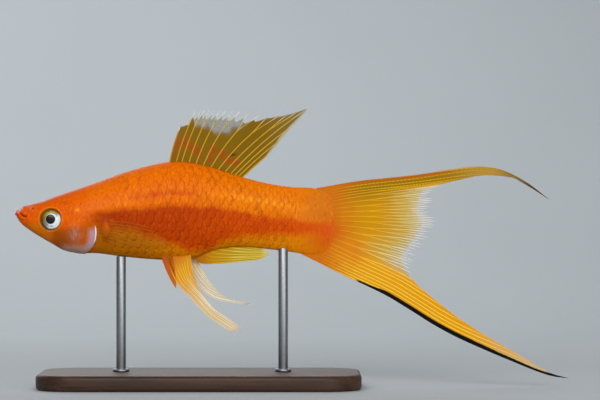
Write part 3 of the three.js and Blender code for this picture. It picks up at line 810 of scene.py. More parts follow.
def eyePaint(name, side):
    paint = Paint(name)
    place, x, z = paint.inUnits(eyeSpot(side), side * head["eye"]["turn"])
    ahead = x - eyes["pupilBack"]
    radius, wide = paint.distance(ahead, z), paint.distance(ahead - 0.1, z)
    grain = paint.noise(place, 1.8, 4) - 0.5
    fibres = paint.noise(place, 5.0, 3) - 0.5
    lowRear = ahead * 0.75 - z * 0.65 + grain * 1.6
    # upper: the olive-yellow of the upper iris, with a painted highlight
    upper = (z - ahead * 0.3 + grain * 1.2).rise(1.3, 2.2) * wide.rise(1.9, 2.3)
    ring = (radius - ahead * 0.14 + fibres * 0.4).fall(eyes["pupil"] + 0.1, eyes["pupil"] + 0.45)
    colour = paint.coats(
        eyes["brown"],
        (eyes["silver"], lowRear.rise(-1.9, 0.1)),
        (eyes["bright"], lowRear.rise(0.1, 1.5)),
        (eyes["yellow"], upper * 0.85),
        (eyes["umber"], (wide + grain * 0.8 - lowRear * 0.14).rise(2.6, 3.1) * 0.85),
        (eyes["rim"], wide.hump(3.34, 0.16) * 0.75),
        (eyes["gold"], wide.rise(3.5, 3.65) * 0.8),
        (eyes["fleck"], paint.spot(ahead, z, 0.2, 0.7, -2.3, 0.26) * 0.8),
        (eyes["bright"], ring * 0.8),
        (eyes["black"], radius.fall(eyes["pupil"] - 0.07, eyes["pupil"] + 0.07)),
    )
    return paint.gloss(colour, 0.35 + fibres * 0.2, 0.2, 0.22, 0.05, (fibres, 0.00002, 0.3))


def buildEye(name, side):
    eye = head["eye"]
    segments, rings = eyes["around"], eyes["rings"]
    bpy.ops.mesh.primitive_uv_sphere_add(segments=segments, ring_count=rings, radius=eye["radius"] * unit)
    ball = newPiece(name)
    ball.scale = (1, eye["depth"] / eye["radius"], 1)
    ball.rotation_euler = (0, 0, side * eye["turn"])
    ball.location = eyeSpot(side)
    bpy.ops.object.transform_apply(location=True, rotation=True, scale=True)
    bpy.ops.object.shade_smooth()
    ball.data.materials.append(eyePaint(name + "Glass", side))
    setOut(ball, "eye", name)


buildEye("eye_left", -1)
buildEye("eye_right", 1)
print("eyes done")

# Fins: a thin membrane with branching rays; path(u, v) is its middle surface, u from root to tip.
# In a fin's settings rays are places along v, and forks says how often each ray divides.
fins = {
    "thick": 0.07 * mm,
    "rayFaces": 6,
    "raySteps": 44,
    "spread": 0.125,  # how far a branch strays, as a share of the way between its neighbours
    "opening": (0.35, 0.3),  # how far along u the first and the second fork open
    "twig": 0.62,  # how thick the last branches are beside their stem
    "sprout": 0.08,  # the share of a branch over which it grows out of its stem
    "rooting": (0.02, 0.2),  # between these places along u a stem reaches its full thickness
    "step": 0.01,  # how far to each side along u a ray's way is measured
    "point": 0.12,  # the share of a ray over which it narrows to its tip
}


def rayTemplate():  # a straight tube, closed at both ends
    def place(u, v):
        turn = 2 * math.pi * v
        closed = 0 if u in (0, 1) else 1
        return Vector((math.cos(turn) * closed, u, math.sin(turn) * closed))

    tube = gridPiece("ray", fins["rayFaces"], fins["raySteps"], place)
    closeSeams(tube, 0.001)
    return tube


def branches(fin, number):  # a ray's stem and branches: where each starts, and how it strays to the side
    places, forks = fin["rays"], fin["forks"][number]
    near, far = places[max(number - 1, 0)], places[min(number + 1, len(places) - 1)]
    wide = (far - near) * fins["spread"]
    first, second = fin["splits"]
    firstRun, secondRun = fins["opening"]

    def stray(one, two):
        def aside(u):
            forked = one * rise(first, first + firstRun, u)
            return wide * (forked + two * rise(second, second + secondRun, u) / 2)

        return aside

    if forks == 0:
        return [(0, stray(0, 0))]
    if forks == 1:
        return [(0, stray(-1, 0)), (first, stray(1, 0))]
    return [(0, stray(-1, -1)), (second, stray(-1, 1)), (first, stray(1, -1)), (second, stray(1, 1))]


def layRay(shapes, tubeMesh, layer, path, v, start, stray, radius, reach):
    steps = fins["raySteps"]
    vertices, faces = addCopy(shapes, tubeMesh)
    spots = []
    for i in range(steps + 1):
        u = lerp(start, reach, i / steps)
        before, after = u - fins["step"], u + fins["step"]
        ahead = path(after, v + stray(after)) - path(before, v + stray(before))
        ahead.normalize()
        across = ahead.cross(Vector((0, 1, 0))).normalized()
        outward = across.cross(ahead).normalized()
        spots.append((path(u, v + stray(u)), across, outward, radius(i / steps, u), u))
    for vertex in vertices:
        centre, across, outward, size, u = spots[min(round(vertex.co.y * steps), steps)]
        vertex.co = inFrame(centre + (across * vertex.co.x + outward * vertex.co.z) * size)
        vertex[layer["u"]] = u
    for face in faces:
        face.smooth = True
        for loop in face.loops:
            loop[layer["map"]].uv = (v, loop.vert[layer["u"]])


def finSheet(name, fin, path, membranePaint, rayPaint):
    places = fin["rays"]

    def membraneReach(v):  # the membrane ends short of the ray tips and dips between them
        i = min(max(bisect(places, v) - 1, 0), len(places) - 2)
        between = min(max((v - places[i]) / (places[i + 1] - places[i]), 0), 1)
        forks = fin["forks"][i if between < 0.5 else i + 1]
        wave = math.cos(math.pi * between * 2**forks) if forks else math.sin(math.pi * between)
        return 1 - fin["fringe"](v) - fin["dip"](v) * abs(wave) ** 0.8

    def place(u, v):
        v = lerp(places[0], places[-1], v)
        return inFrame(path(u * membraneReach(v), v))

    membrane = gridPiece(name, fin["columns"], fin["steps"], place)
    applyModifier(membrane, "SOLIDIFY", thickness=fins["thick"] * unit, offset=0)
    membrane.data.materials.append(membranePaint)
    tube = rayTemplate()
    shapes = bmesh.new()
    shapes.from_mesh(tube.data)
    layer = {"map": shapes.loops.layers.uv["FinMap"], "u": shapes.verts.layers.float.new("u")}
    bmesh.ops.delete(shapes, geom=list(shapes.verts), context="VERTS")
    draw = random.Random(name)
    for number, v in enumerate(places):
        for start, stray in branches(fin, number):
            reach = 1 - draw.uniform(0, fin["ragged"](v))
            thick = fin["radius"] * lerp(1, fins["twig"], start / fin["splits"][1]) * mm

            def radius(t, u, start=start, thick=thick):
                rooted = lerp(fin["rootShare"], 1, rise(*fins["rooting"], u))
                grown = min(t / fins["sprout"], 1) if start else rooted
                point = min((1 - t) / fins["point"], 1) ** 0.7
                return thick * lerp(1, fin["tipShare"], max(u, 0) ** 0.8) * grown * point

            layRay(shapes, tube.data, layer, path, v, start, stray, radius, reach)
    shapes.to_mesh(tube.data)
    shapes.free()
    tube.data.materials.append(rayPaint)
    piece = joinAll(name, [membrane, tube])
    bpy.ops.object.shade_smooth()
    print(name + ":", len(piece.data.polygons), "faces")
    return piece


def finShader(paint, colour, alpha, glow, through=0.22):  # light also comes through, less where it's clear
    film = paint.add("BsdfPrincipled", inputs={
        "Base Color": colour, "Roughness": 0.45, "Specular IOR Level": 0.06, "Alpha": alpha,
        "Coat Weight": 0.03, "Coat Roughness": 0.15})
    back = paint.add("BsdfTranslucent", inputs={"Color": glow})
    return paint.finish(paint.add("MixShader", inputs={0: alpha * through, 1: film, 2: back}))


def sideways(root, end, bow):  # a ray that swells to one side of the straight line from root to end
    chord = end - root
    across = Vector((-chord.z, 0, chord.x)).normalized()
    return lambda u: root + chord * u + across * (bow * 4 * u * (1 - u))


def guideEnds(line, edge, shares=80, steps=160):  # how far along the guide each ray's tip lies
    samples = [line(i / steps) for i in range(steps + 1)]
    rows = []
    for i in range(shares + 1):
        tip = edge(i / shares)
        nearest = min(range(steps + 1), key=lambda k: (samples[k] - tip).length)
        rows.append((i / shares, nearest / steps))
    return smooth(rows)


def alongGuide(line, end, root, tip, u):  # a ray that copies the guide's curve from its own root to its tip
    start, finish = root - line(0), tip - line(end)
    return line(u * end) + start.lerp(finish, u)


# Dorsal fin: high, with a row of free ray tips in front and a point behind
dorsal = {
    "root": (48.9, 71.8),
    "sunk": 2.2,
    "edge": curve([(0, 53.0, 32.3), (0.043, 55.2, 35.2), (0.087, 58.0, 37.4), (0.3, 64.5, 37.6),
                   (0.5, 73.0, 36.9), (0.575, 77.8, 36.0), (0.64, 82.2, 35.2), (0.7, 86.4, 35.5),
                   (0.78, 92.2, 36.9), (0.84, 95.4, 37.9), (0.88, 93.4, 35.0), (0.93, 89.6, 30.6),
                   (1, 83.3, 23.6)]),
    "bow": smooth([(0, 0.5), (0.4, 0.9), (0.8, 1.3), (1, 0.1)]),
    "wave": (0.9, 0.16),  # how far it sways to the sides, and how fast along x
    "rays": [0, 0.087, 0.167, 0.27, 0.37, 0.47, 0.572, 0.667, 0.76, 0.84, 0.9, 0.95, 1.0],
    "forks": [0, 0, 1, 1, 1, 1, 1, 1, 1, 0, 0, 0, 0],
    "columns": 132,
    "steps": 44,
    "splits": (0.62, 0.85),
    "notch": 0.28,  # how far the membrane drops from the first ray's tip to the second ray
    "fringe": lambda v: (dorsal["notch"] * (v / 0.087) ** 0.5 if v < 0.087
                         else 0.08 * (1 - rise(0.57, 0.68, v)) + 0.01 + 0.035 * rise(0.86, 0.9, v)),
    "dip": lambda v: (0.0 if v < 0.087
                      else 0.09 * (1 - rise(0.57, 0.68, v)) + 0.008 + 0.035 * rise(0.86, 0.9, v)),
    "ragged": lambda v: 0.03,
    "radius": 0.165,
    "rootShare": 1.0,
    "tipShare": 0.85,
    "clearAt": [(50, 38), (55.5, 36.5), (57, 34), (58, 31.4), (62, 31.2), (64.5, 29.4), (68.5, 29.4),
                (70.5, 30.6), (73.5, 31.4), (75.5, 33.4), (77.5, 35), (81, 37.5), (86, 41), (98, 44)],
    "blots": [  # red blots: x, width, z, height
        (51.6, 0.8, 26.4, 1.8), (54.1, 1.1, 26, 1.8), (56.4, 0.9, 25.2, 1.2), (58.3, 1.6, 23.4, 1.4),
        (63.6, 1.2, 23.9, 1.6), (62.6, 1.0, 21.0, 1.2), (66.7, 1.1, 22.6, 1.5), (68.6, 1.5, 20.4, 1.2),
        (71.6, 1.3, 19.6, 1.2),
    ],
    "mark": (70.3, 0.9, 22.3, 0.45),  # a small slanting one, nearly black
    "rayColours": {"base": "#d4aa2c", "clear": "#c9bb7c", "front": "#cf8410", "tip": "#f2f4f0",
                   "rearTip": "#dcd6b4", "glow": "#d8ad3a"},
    "filmColours": {"amber": "#8c6204", "olive": "#806706", "front": "#8e5c06", "blot": "#a23c00",
                    "mark": "#4a1a03", "hatch": "#5c4504", "far": "#827242", "clear": "#7f7864",
                    "edge": "#cdcab4", "glow": "#a87408"},
}


def dorsalPath(u, v):
    x = lerp(*dorsal["root"], v)
    root = Vector((x, 0, backAt(x) - dorsal["sunk"]))
    point = sideways(root, dorsal["edge"](v), dorsal["bow"](v))(u)
    height, turns = dorsal["wave"]
    point.y = height * math.sin(point.x * turns) * u * u
    return point


def dorsalPaint(name, ray):
    paint = Paint(name)
    place, x, z = paint.inUnits()
    v, u = paint.onMap("FinMap")
    cloud = paint.noise(place, 0.35, 3) - 0.5
    fine = paint.noise(place, 1.6, 2) - 0.5
    clear = (z - x.follow(dorsal["clearAt"]) + cloud * 3.0 + fine * 0.8).rise(-1.2, 1.6)
    front = (x - z * 0.25).fall(43.5, 49.5)
    if ray:
        tones = dorsal["rayColours"]
        tip, rear = u.rise(0.8, 0.93), v.rise(0.55, 0.68)
        colour = paint.coats(
            tones["base"],
            (tones["clear"], (clear + cloud).rise(0.1, 0.9)),
            (tones["front"], front * 0.6),
            (tones["tip"], tip * (1 - rear)),
            (tones["rearTip"], tip * rear * 0.8),
        )
        return finShader(paint, colour, 1.0, tones["glow"])
    tones = dorsal["filmColours"]
    blots = sum(paint.spot(x + fine * 2.5, z + cloud * 2.5, *blot) for blot in dorsal["blots"])
    hatch = paint.math("SINE", (x * 0.8 + z * 0.6) * 9) * x.rise(66, 76)
    edge = (u + v.rise(0.82, 0.92) * 0.12).rise(0.95, 1.02) * v.rise(0.6, 0.72)
    colour = paint.coats(
        tones["amber"],
        (tones["olive"], cloud.rise(-0.25, 0.25)),
        (tones["front"], front * 0.7),
        (tones["blot"], (blots + fine).rise(-0.1, 1.0) * 0.8),
        (tones["mark"], paint.spot(x - (z - dorsal["mark"][2]) * 0.9, z, *dorsal["mark"]) * 0.95),
        (tones["hatch"], hatch.rise(0.2, 1.0) * 0.4),
        (tones["far"], (x - (z - 30) * 0.3).rise(80, 92) * 0.75),
        (tones["clear"], clear),
        (tones["edge"], edge * 0.8),
    )
    through = (1 - blots) * (1 - clear * 0.8) * 0.2
    return finShader(paint, colour, 0.95 - clear * 0.57 - edge * 0.2, tones["glow"], through)


dorsalPaints = dorsalPaint("dorsalMembrane", False), dorsalPaint("dorsalRays", True)
dorsalFin = finSheet("dorsal_fin", dorsal, dorsalPath, *dorsalPaints)
setOut(dorsalFin, "amber_fin", "dorsal_fin")

# Tail fin: a curved streamer above, a clear-edged fan, and the long sword below, as one sheet
streamerRows = [(98, 11.2), (112, 13.4), (130, 15.3), (141, 16.8), (150, 17.9), (156.5, 17.5), (162, 15.8),
                (168.5, 12.3), (176.3, 7.1)]
swordRows = [(92.4, -10.4), (105.3, -16.7), (120.7, -24), (128.9, -28.9), (138, -34.6), (147, -39.3),
             (163.5, -46.4), (176, -51.2), (182.5, -52.2)]
tail = {
    "streamer": guide(streamerRows),
    "sword": guide(swordRows),
    "root": curve([(0, 98, 11.2), (0.25, 101, 6.6), (0.5, 102, 0), (0.75, 98.5, -6.4), (1, 92.4, -10.4)]),
    "edge": curve([(0, 176.3, 7.1), (0.03, 168.8, 12.9), (0.06, 164.7, 14.5), (0.12, 154.7, 15.5),
                   (0.18, 145.7, 13.9), (0.25, 140.4, 12.0), (0.32, 137.5, 7.7), (0.4, 137.2, 3),
                   (0.47, 138.3, -1), (0.54, 135.7, -6), (0.61, 131.8, -11.6), (0.66, 130.6, -15.6),
                   (0.7, 132.2, -20.8), (0.76, 141, -28.7), (0.83, 152.7, -36.8), (0.9, 166, -44.5),
                   (0.96, 176, -50.3), (1, 182.5, -52.2)]),
    "fan": (0.265, 0.675),
    "rays": [0, 0.035, 0.075, 0.12, 0.165, 0.21, 0.255, 0.3, 0.345, 0.39, 0.435, 0.48, 0.525, 0.57, 0.615,
             0.66, 0.71, 0.76, 0.805, 0.85, 0.89, 0.93, 0.965, 1],
    "forks": [0, 0, 0, 0, 1, 1, 2, 2, 2, 2, 2, 2, 2, 2, 2, 2, 1, 0, 0, 0, 0, 0, 0, 0],
    "columns": 330,
    "steps": 84,
    "splits": (0.3, 0.52),
    "fringe": lambda v: 0.09 * rise(0.17, 0.28, v) * (1 - rise(0.64, 0.74, v)) + 0.002,
    "dip": lambda v: 0.07 * rise(0.17, 0.28, v) * (1 - rise(0.64, 0.74, v)),
    "ragged": lambda v: 0.09 * rise(0.17, 0.28, v) * (1 - rise(0.62, 0.7, v)),
    "radius": 0.15,
    "rootShare": 0.2,
    "tipShare": 0.95,
    "blackWidth": [(108, 0.3), (114, 0.4), (118, 0.7), (123, 1.25), (146, 1.35), (166, 0.8), (184, 0.7)],
    "rayColours": {"base": "#f2b20e", "upper": "#e0b21c", "lower": "#ffdc4c", "joint": "#8a6206",
                   "flush": "#d47a0a", "clear": "#ead884", "white": "#f6f4ea", "glow": "#f0a81e"},
    "filmColours": {"base": "#cf9604", "upper": "#9c7606", "lower": "#eca408",
                    "flush": "#c56802", "clear": "#bfac4e", "white": "#cdc5a2", "glow": "#d88c10"},
    "orange": "#d86602",
    "upperEdge": "#c26804",
    "streamerEnd": ("#c49c44", "#8a7440", "#4d3c20"),
    "swordEnd": "#d6c092",
    "black": "#080503",
}
streamerEnd, swordEnd = guideEnds(tail["streamer"], tail["edge"]), guideEnds(tail["sword"], tail["edge"])


def tailPath(u, v):
    root, tip = tail["root"](v), tail["edge"](v)
    upper = alongGuide(tail["streamer"], streamerEnd(v), root, tip, u)
    lower = alongGuide(tail["sword"], swordEnd(v), root, tip, u)
    point = upper.lerp(lower, rise(*tail["fan"], v))
    point.y = swayAt(point.x)
    return point


def tailPaint(name, ray):
    paint = Paint(name)
    place, x, z = paint.inUnits()
    v, u = paint.onMap("FinMap")
    tones = tail["rayColours"] if ray else tail["filmColours"]
    cloud = paint.noise(place, 0.25, 3) - 0.5
    fine = paint.noise(place, 1.4, 3) - 0.5
    lower, upper = v.rise(0.48, 0.7), v.fall(0.16, 0.4)
    above = upper * 0.8 if ray else upper
    colour = paint.coats(tones["base"], (tones["upper"], above), (tones["lower"], lower))
    if ray:
        joints = paint.math("SINE", u * 300) * upper
        colour = paint.mix(colour, tones["joint"], joints.rise(0.1, 0.9) * 0.5)
    # the flesh runs out into the rays, and the fan turns clear towards its ragged edge
    out = x + cloud * 7
    flush = (out + lower * 3).fall(102, 117)
    fan = v.rise(0.2, 0.3) * v.fall(0.64, 0.72)
    clear = (out + lower * 9).rise(117, 134) * fan
    white = (out + lower * 10).rise(127, 137) * fan
    # the streamer has an orange upper edge and ends in a dark thread
    over = z - x.follow(streamerRows)
    edge = (over + fine * 0.5).rise(-1.15, -0.6) * v.fall(0.1, 0.2)
    first, second, third = tail["streamerEnd"]
    # the sword's lower margin is black
    under = z - x.follow(swordRows)
    black = (under - x.follow(tail["blackWidth"]) + fine * 0.3).fall(-0.12, 0.2)
    black = black * x.rise(110.5, 112.5) * v.rise(0.6, 0.7)
    colour = paint.coats(
        colour,
        (tones["flush"], flush),
        (flesh["rootRed"], paint.spot(x, z + cloud * 2, *flesh["rootSpot"]) * 0.7),
        (tail["orange"], paint.spot(x, z, 111, 5, -9.5, 5.0) * 0.5),
        (tones["clear"], clear),
        (tones["white"], white),
        (tail["upperEdge"], edge * x.fall(136, 150) * 0.85),
        (first, x.rise(140, 154) * (1 - lower) * 0.7),
        (second, x.rise(156, 165) * (1 - lower) * 0.8),
        (third, x.rise(164, 170) * (1 - lower) * 0.9),
        (tail["swordEnd"], x.rise(146, 176) * lower * 0.85),
        (tail["black"], black),
    )
    thin = (1 - black) * (1 - flush)
    alpha = 1.0 if ray else 0.97 - (clear * 0.22 + white * 0.25) * thin
    return finShader(paint, colour, alpha, tones["glow"], thin * 0.22)


tailPaints = tailPaint("tailMembrane", False), tailPaint("tailRays", True)
tailFin = finSheet("tail_fin", tail, tailPath, *tailPaints)
setOut(tailFin, "gold_fin", "tail_fin_streamer", "tail_fin_fan", "tail_fin_sword")


# The small fins share one paint: a warm base, then the root's colour, clear further out, with pale rays
def smallPaint(name, ray, colours):
    paint = Paint(name)
    place, x, z = paint.inUnits()
    (startX, startZ), (endX, endZ) = colours["run"]
    runX, runZ = endX - startX, endZ - startZ
    u = ((x - startX) * runX + (z - startZ) * runZ) / (runX**2 + runZ**2)
    clear = (u + (paint.noise(place, 0.5, 3) - 0.5) * 0.2).rise(*colours["clear"])
    if ray:
        colour = paint.mix(colours["ray"], colours["rayTip"], clear)
        fade = colours.get("rayFade")
        alpha = 1 - clear * fade if fade else 1.0
    else:
        colour = paint.mix(colours["root"], colours["tip"], clear)
        colour = paint.mix(colour, colours["end"], u.rise(*colours["endFrom"]) * 0.8)
        near, far = colours["alpha"]
        alpha = near + clear * (far - near)
    colour = paint.mix(colours["base"], colour, u.rise(*colours["baseTo"]))
    return finShader(paint, colour, alpha, colours["glow"])


def smallPaints(name, colours):  # for the membrane and for the rays
    return smallPaint(name + "Film", False, colours), smallPaint(name + "Rays", True, colours)


# Pelvic fins: a short first ray before a long blade with a clear trailing tip
pelvicPoses = {
    "left": {
        "side": -1, "root": (47.8, 56.0), "first": ((46.4, 49.8), (51.4, -22.0)),
        "guide": [(48.2, -10.4), (52.1, -20.1), (57.1, -25.6), (61.6, -30.6), (66.3, -34.1), (71.8, -37.8)],
        "edge": [(0, 71.8, -37.8), (0.15, 73.1, -36.3), (0.3, 72.6, -34.4), (0.5, 67.7, -31.4),
                 (0.65, 62.1, -27), (0.8, 59.3, -22.9), (1, 57.4, -17.5)],
    },
    "right": {
        "side": 1, "root": (50.2, 57.2), "first": ((48.8, 51.6), (54.0, -21.8)),
        "guide": [(50.2, -10.4), (54.3, -16.8), (58.2, -21.7), (63.8, -25.6), (71, -27.2), (77, -28)],
        "edge": [(0, 77, -28), (0.07, 77.2, -27.7), (0.13, 77, -27.4), (0.22, 72, -26.6), (0.4, 69, -25.9),
                 (0.6, 65.2, -23), (0.8, 62.3, -19.5), (1, 59.6, -15.3)],
    },
}
pelvic = {
    "inset": 2.2,
    "splay": 0.15,
    "rootSunk": 2.2,
    "firstWidth": 0.12,
    "firstBow": (-0.5, 0.35),
    "blade": {
        "rays": [0, 0.14, 0.28, 0.42, 0.56, 0.7, 0.85, 1], "forks": [0, 1, 1, 1, 1, 1, 1, 0],
        "columns": 56, "steps": 48, "splits": (0.4, 0.8), "radius": 0.13, "rootShare": 0.6, "tipShare": 0.4,
        "fringe": lambda v: 0.01 + 0.05 * abs(2 * v - 1) ** 3,
        "dip": lambda v: 0.012, "ragged": lambda v: 0.01,
    },
    "first": {
        "rays": [0, 0.5, 1], "forks": [0, 0, 0],
        "columns": 8, "steps": 24, "splits": (0.6, 0.9), "radius": 0.18, "rootShare": 0.8, "tipShare": 0.3,
        "fringe": lambda v: 0.0, "dip": lambda v: 0.0, "ragged": lambda v: 0.0,
    },
    "colours": {
        "base": "#d07a04", "root": "#e29c08", "tip": "#e4cc90", "end": "#e2d6be", "ray": "#fccc40",
        "rayTip": "#fbf0d0", "glow": "#eeac2c", "baseTo": (0.04, 0.2), "clear": (0.2, 0.62),
        "endFrom": (0.7, 0.94), "alpha": (0.95, 0.62), "run": ((51, -10), (72, -37)),
    },
    # the far fin's colours are paler: painted light against the body's shadow on it
    "farLightenedColours": {
        "base": "#e0a858", "root": "#ecc47c", "tip": "#e6dab6", "end": "#c8ae7c", "ray": "#fbe4a8",
        "rayTip": "#f8f0dc", "glow": "#f2d698", "baseTo": (0.02, 0.12), "clear": (0.05, 0.4),
        "endFrom": (0.8, 0.97), "alpha": (0.8, 0.42), "run": ((53, -10), (77, -28)),
    },
    "firstColours": {
        "base": "#bc5602", "root": "#c85a02", "tip": "#c86604", "end": "#cc7a10", "ray": "#d86a04",
        "rayTip": "#dc7c0c", "glow": "#d06806", "baseTo": (0.05, 0.4), "clear": (0.5, 1.0),
        "endFrom": (0.8, 1.0), "alpha": (1.0, 0.95), "run": ((48, -11), (51.5, -22)),
    },
}


def buildPelvic(name, pose):
    colours = pelvic["colours"] if pose["side"] < 0 else pelvic["farLightenedColours"]
    line, edge = guide(pose["guide"]), curve(pose["edge"])
    end = guideEnds(line, edge)
    top = pose["guide"][0][1]

    def rootAt(x):
        return Vector((x, 0, bellyAt(x) + pelvic["rootSunk"]))

    def leaned(point):
        point.y = pose["side"] * (pelvic["inset"] + pelvic["splay"] * max(top - point.z, 0))
        return point

    def bladePath(u, v):
        return leaned(alongGuide(line, end(v), rootAt(lerp(*pose["root"], v)), edge(v), u))

    def firstPath(u, v):
        (near, far), (tipX, tipZ) = pose["first"]
        tip = Vector((tipX + v * pelvic["firstWidth"], 0, tipZ + v * pelvic["firstWidth"]))
        return leaned(sideways(rootAt(lerp(near, far, v)), tip, lerp(*pelvic["firstBow"], v))(u))

    blade = finSheet(name, pelvic["blade"], bladePath, *smallPaints(name, colours))
    firstPaints = smallPaints(name + "First", pelvic["firstColours"])
    first = finSheet(name + "First", pelvic["first"], firstPath, *firstPaints)
    setOut(joinAll(name, [blade, first]), "amber_fin", name)


for side, pose in pelvicPoses.items():
    buildPelvic("pelvic_fin_" + side, pose)

# Gonopodium: the anal fin, folded into a narrow blade
gonopodium = {
    "lower": curve([(0, 56.5, -10), (0.16, 59.2, -13.5), (0.35, 64.3, -13.8), (0.65, 72.7, -13.2),
                    (0.9, 79.4, -12.4), (1, 81.6, -11.3)]),
    "upper": curve([(0, 66.5, -6.5), (0.3, 70.5, -7.6), (0.6, 75.5, -8.5), (0.9, 80.6, -9.2),
                    (1, 82, -10)]),
    "bulge": 2,  # how far its tip is rounded
    "rays": [0, 0.16, 0.33, 0.5, 0.68, 0.85, 1], "forks": [0, 0, 1, 0, 1, 0, 0],
    "columns": 36, "steps": 48, "splits": (0.35, 0.9), "radius": 0.15, "rootShare": 0.6, "tipShare": 0.55,
    "fringe": lambda v: 0.0, "dip": lambda v: 0.0, "ragged": lambda v: 0.0,
    "colours": {
        "base": "#b86a02", "root": "#c48804", "tip": "#bd9a08", "end": "#d9d0a8", "ray": "#deb00c",
        "rayTip": "#eed858", "glow": "#dcb010", "baseTo": (-0.1, 0.22), "clear": (0.12, 0.6),
        "endFrom": (0.86, 0.98), "alpha": (0.97, 0.8), "run": ((60, -11), (82, -11)),
    },
}


def gonopodiumPath(u, v):
    point = gonopodium["lower"](u).lerp(gonopodium["upper"](u), v)
    point.x += gonopodium["bulge"] * v * (1 - v) * max(u, 0) ** 4
    return point


gonopodiumPaints = smallPaints("gonopodium", gonopodium["colours"])
analFin = finSheet("gonopodium", gonopodium, gonopodiumPath, *gonopodiumPaints)
setOut(analFin, "amber_fin", "gonopodium")

# Pectoral fins: clear fans that lie back along the flanks
pectoral = {
    "x": 27.4, "height": (0.2, -5.4), "bow": (0.8, -0.6),
    "edge": curve([(0, 44.0, -2.2), (0.3, 49.6, -6.2), (0.55, 48.6, -8.6), (1, 37.5, -8.4)]),
    "off": smooth([(0, -1.2), (0.14, 0.9), (0.5, 1.7), (1, 2.6)]),  # how far it stands off the flank
    "rays": [0, 0.12, 0.25, 0.38, 0.52, 0.66, 0.82, 1], "forks": [0] * 8,
    "columns": 56, "steps": 44, "splits": (0.55, 0.8), "radius": 0.06, "rootShare": 1.0, "tipShare": 0.6,
    "fringe": lambda v: 0.05, "dip": lambda v: 0.015, "ragged": lambda v: 0.01,
    "colours": {
        "base": "#b85a0a", "root": "#c85a06", "tip": "#b86a1c", "end": "#c8823a", "ray": "#c9680c",
        "rayTip": "#d0842c", "glow": "#b86414", "baseTo": (0.0, 0.1), "clear": (0.0, 0.2),
        "endFrom": (0.85, 1.0), "alpha": (0.1, 0.05), "rayFade": 0.5, "run": ((28, -3), (49, -6)),
    },
}


def buildPectoral(name, side):
    def path(u, v):
        root = Vector((pectoral["x"], 0, lerp(*pectoral["height"], v)))
        point = sideways(root, pectoral["edge"](v), lerp(*pectoral["bow"], v))(u)
        point.y = side * (ringPoint(point.x, turnFor(point.x, point.z)).y + pectoral["off"](u))
        return point

    piece = finSheet(name, pectoral, path, *smallPaints(name, pectoral["colours"]))
    setOut(piece, "clear_fin", name)


buildPectoral("pectoral_fin_left", -1)
buildPectoral("pectoral_fin_right", 1)

# Stand: a bevelled hardwood base and two steel rods
stand = {
    "corner": 0.009,
    "bevel": 0.0009,
    "rodRadius": 0.0011,
    "collar": (0.0019, 0.0007),  # radius and height
    "rodBevel": 0.12,  # of the radius
    "smoothBelow": math.radians(35),
    "wood": "#2b1a10",
    "woodLight": "#4a2f1d",
    "pores": "#1a0f09",
    "steel": "#74787c",
    "steelLight": "#a2a5a8",
}


def woodPaint():
    paint = Paint("darkWood")
    where = paint.where()
    x, y, z = paint.split(where)
    warp = paint.noise(where, 0.6, 4, (30, 300, 300))
    rings = paint.math("SINE", y * 900 + warp * 14) * 0.5 + 0.5
    pores = paint.noise(where, 1.0, 3, (90, 1400, 1400))
    colour = paint.coats(
        stand["wood"],
        (stand["woodLight"], rings * 0.6 + warp * 0.4),
        (stand["pores"], pores.rise(0.56, 0.7) * 0.7),
    )
    return paint.gloss(colour, 0.45 + pores * 0.2, 0.25, 0.08, 0.3, (rings * 0.3 + pores, 0.00004, 0.5))


def steelPaint():
    paint = Paint("brushedSteel")
    brushed = paint.noise(paint.where(), 1.0, 3, (900, 900, 9000))
    colour = paint.mix(stand["steel"], stand["steelLight"], brushed)
    return paint.gloss(colour, 0.3 + brushed * 0.2, 0.5, 0.0, 0.03, (brushed, 0.00001, 0.4), Metallic=1.0)


def smoothBelowAngle(piece):
    ownPlace(piece)
    bpy.ops.object.shade_smooth_by_angle(angle=stand["smoothBelow"])


def roundPiece(name, radius, height, x, low):
    middle = (x, 0, low + height / 2)
    bpy.ops.mesh.primitive_cylinder_add(vertices=48, radius=radius, depth=height, location=middle)
    piece = newPiece(name)
    bpy.ops.object.transform_apply(location=True, rotation=True, scale=True)
    applyModifier(piece, "BEVEL", width=radius * stand["rodBevel"], segments=3, limit_method="ANGLE")
    smoothBelowAngle(piece)
    return piece


def buildStand():
    low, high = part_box("stand_base")
    bpy.ops.mesh.primitive_cube_add(size=1, location=(low + high) / 2)
    base = newPiece("stand_base")
    base.scale = high - low
    bpy.ops.object.transform_apply(location=True, rotation=True, scale=True)
    bpy.ops.object.mode_set(mode="EDIT")
    bpy.ops.mesh.select_mode(type="EDGE")
    bpy.ops.mesh.select_all(action="DESELECT")
    shape = bmesh.from_edit_mesh(base.data)
    for edge in shape.edges:
        if abs(edge.verts[0].co.z - edge.verts[1].co.z) > (high.z - low.z) / 2:
            edge.select_set(True)
    bpy.ops.mesh.bevel(offset=stand["corner"], segments=14, affect="EDGES")
    bpy.ops.object.mode_set(mode="OBJECT")
    sharp = math.radians(50)
    applyModifier(base, "BEVEL", width=stand["bevel"], segments=4, limit_method="ANGLE", angle_limit=sharp)
    smoothBelowAngle(base)
    base.data.materials.append(woodPaint())
    setOut(base, "stand_wood", "stand_base")
    steel = steelPaint()
    for name in ("stand_rod_front", "stand_rod_rear"):
        foot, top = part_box(name)
        x = (foot.x + top.x) / 2
        rod = roundPiece(name, stand["rodRadius"], top.z - foot.z, x, foot.z)
        collar = roundPiece(name + "Collar", *stand["collar"], x, high.z)
        rod = joinAll(name, [rod, collar])
        rod.data.materials.append(steel)
        setOut(rod, "stand_rod", name)
    print("stand done")


buildStand()

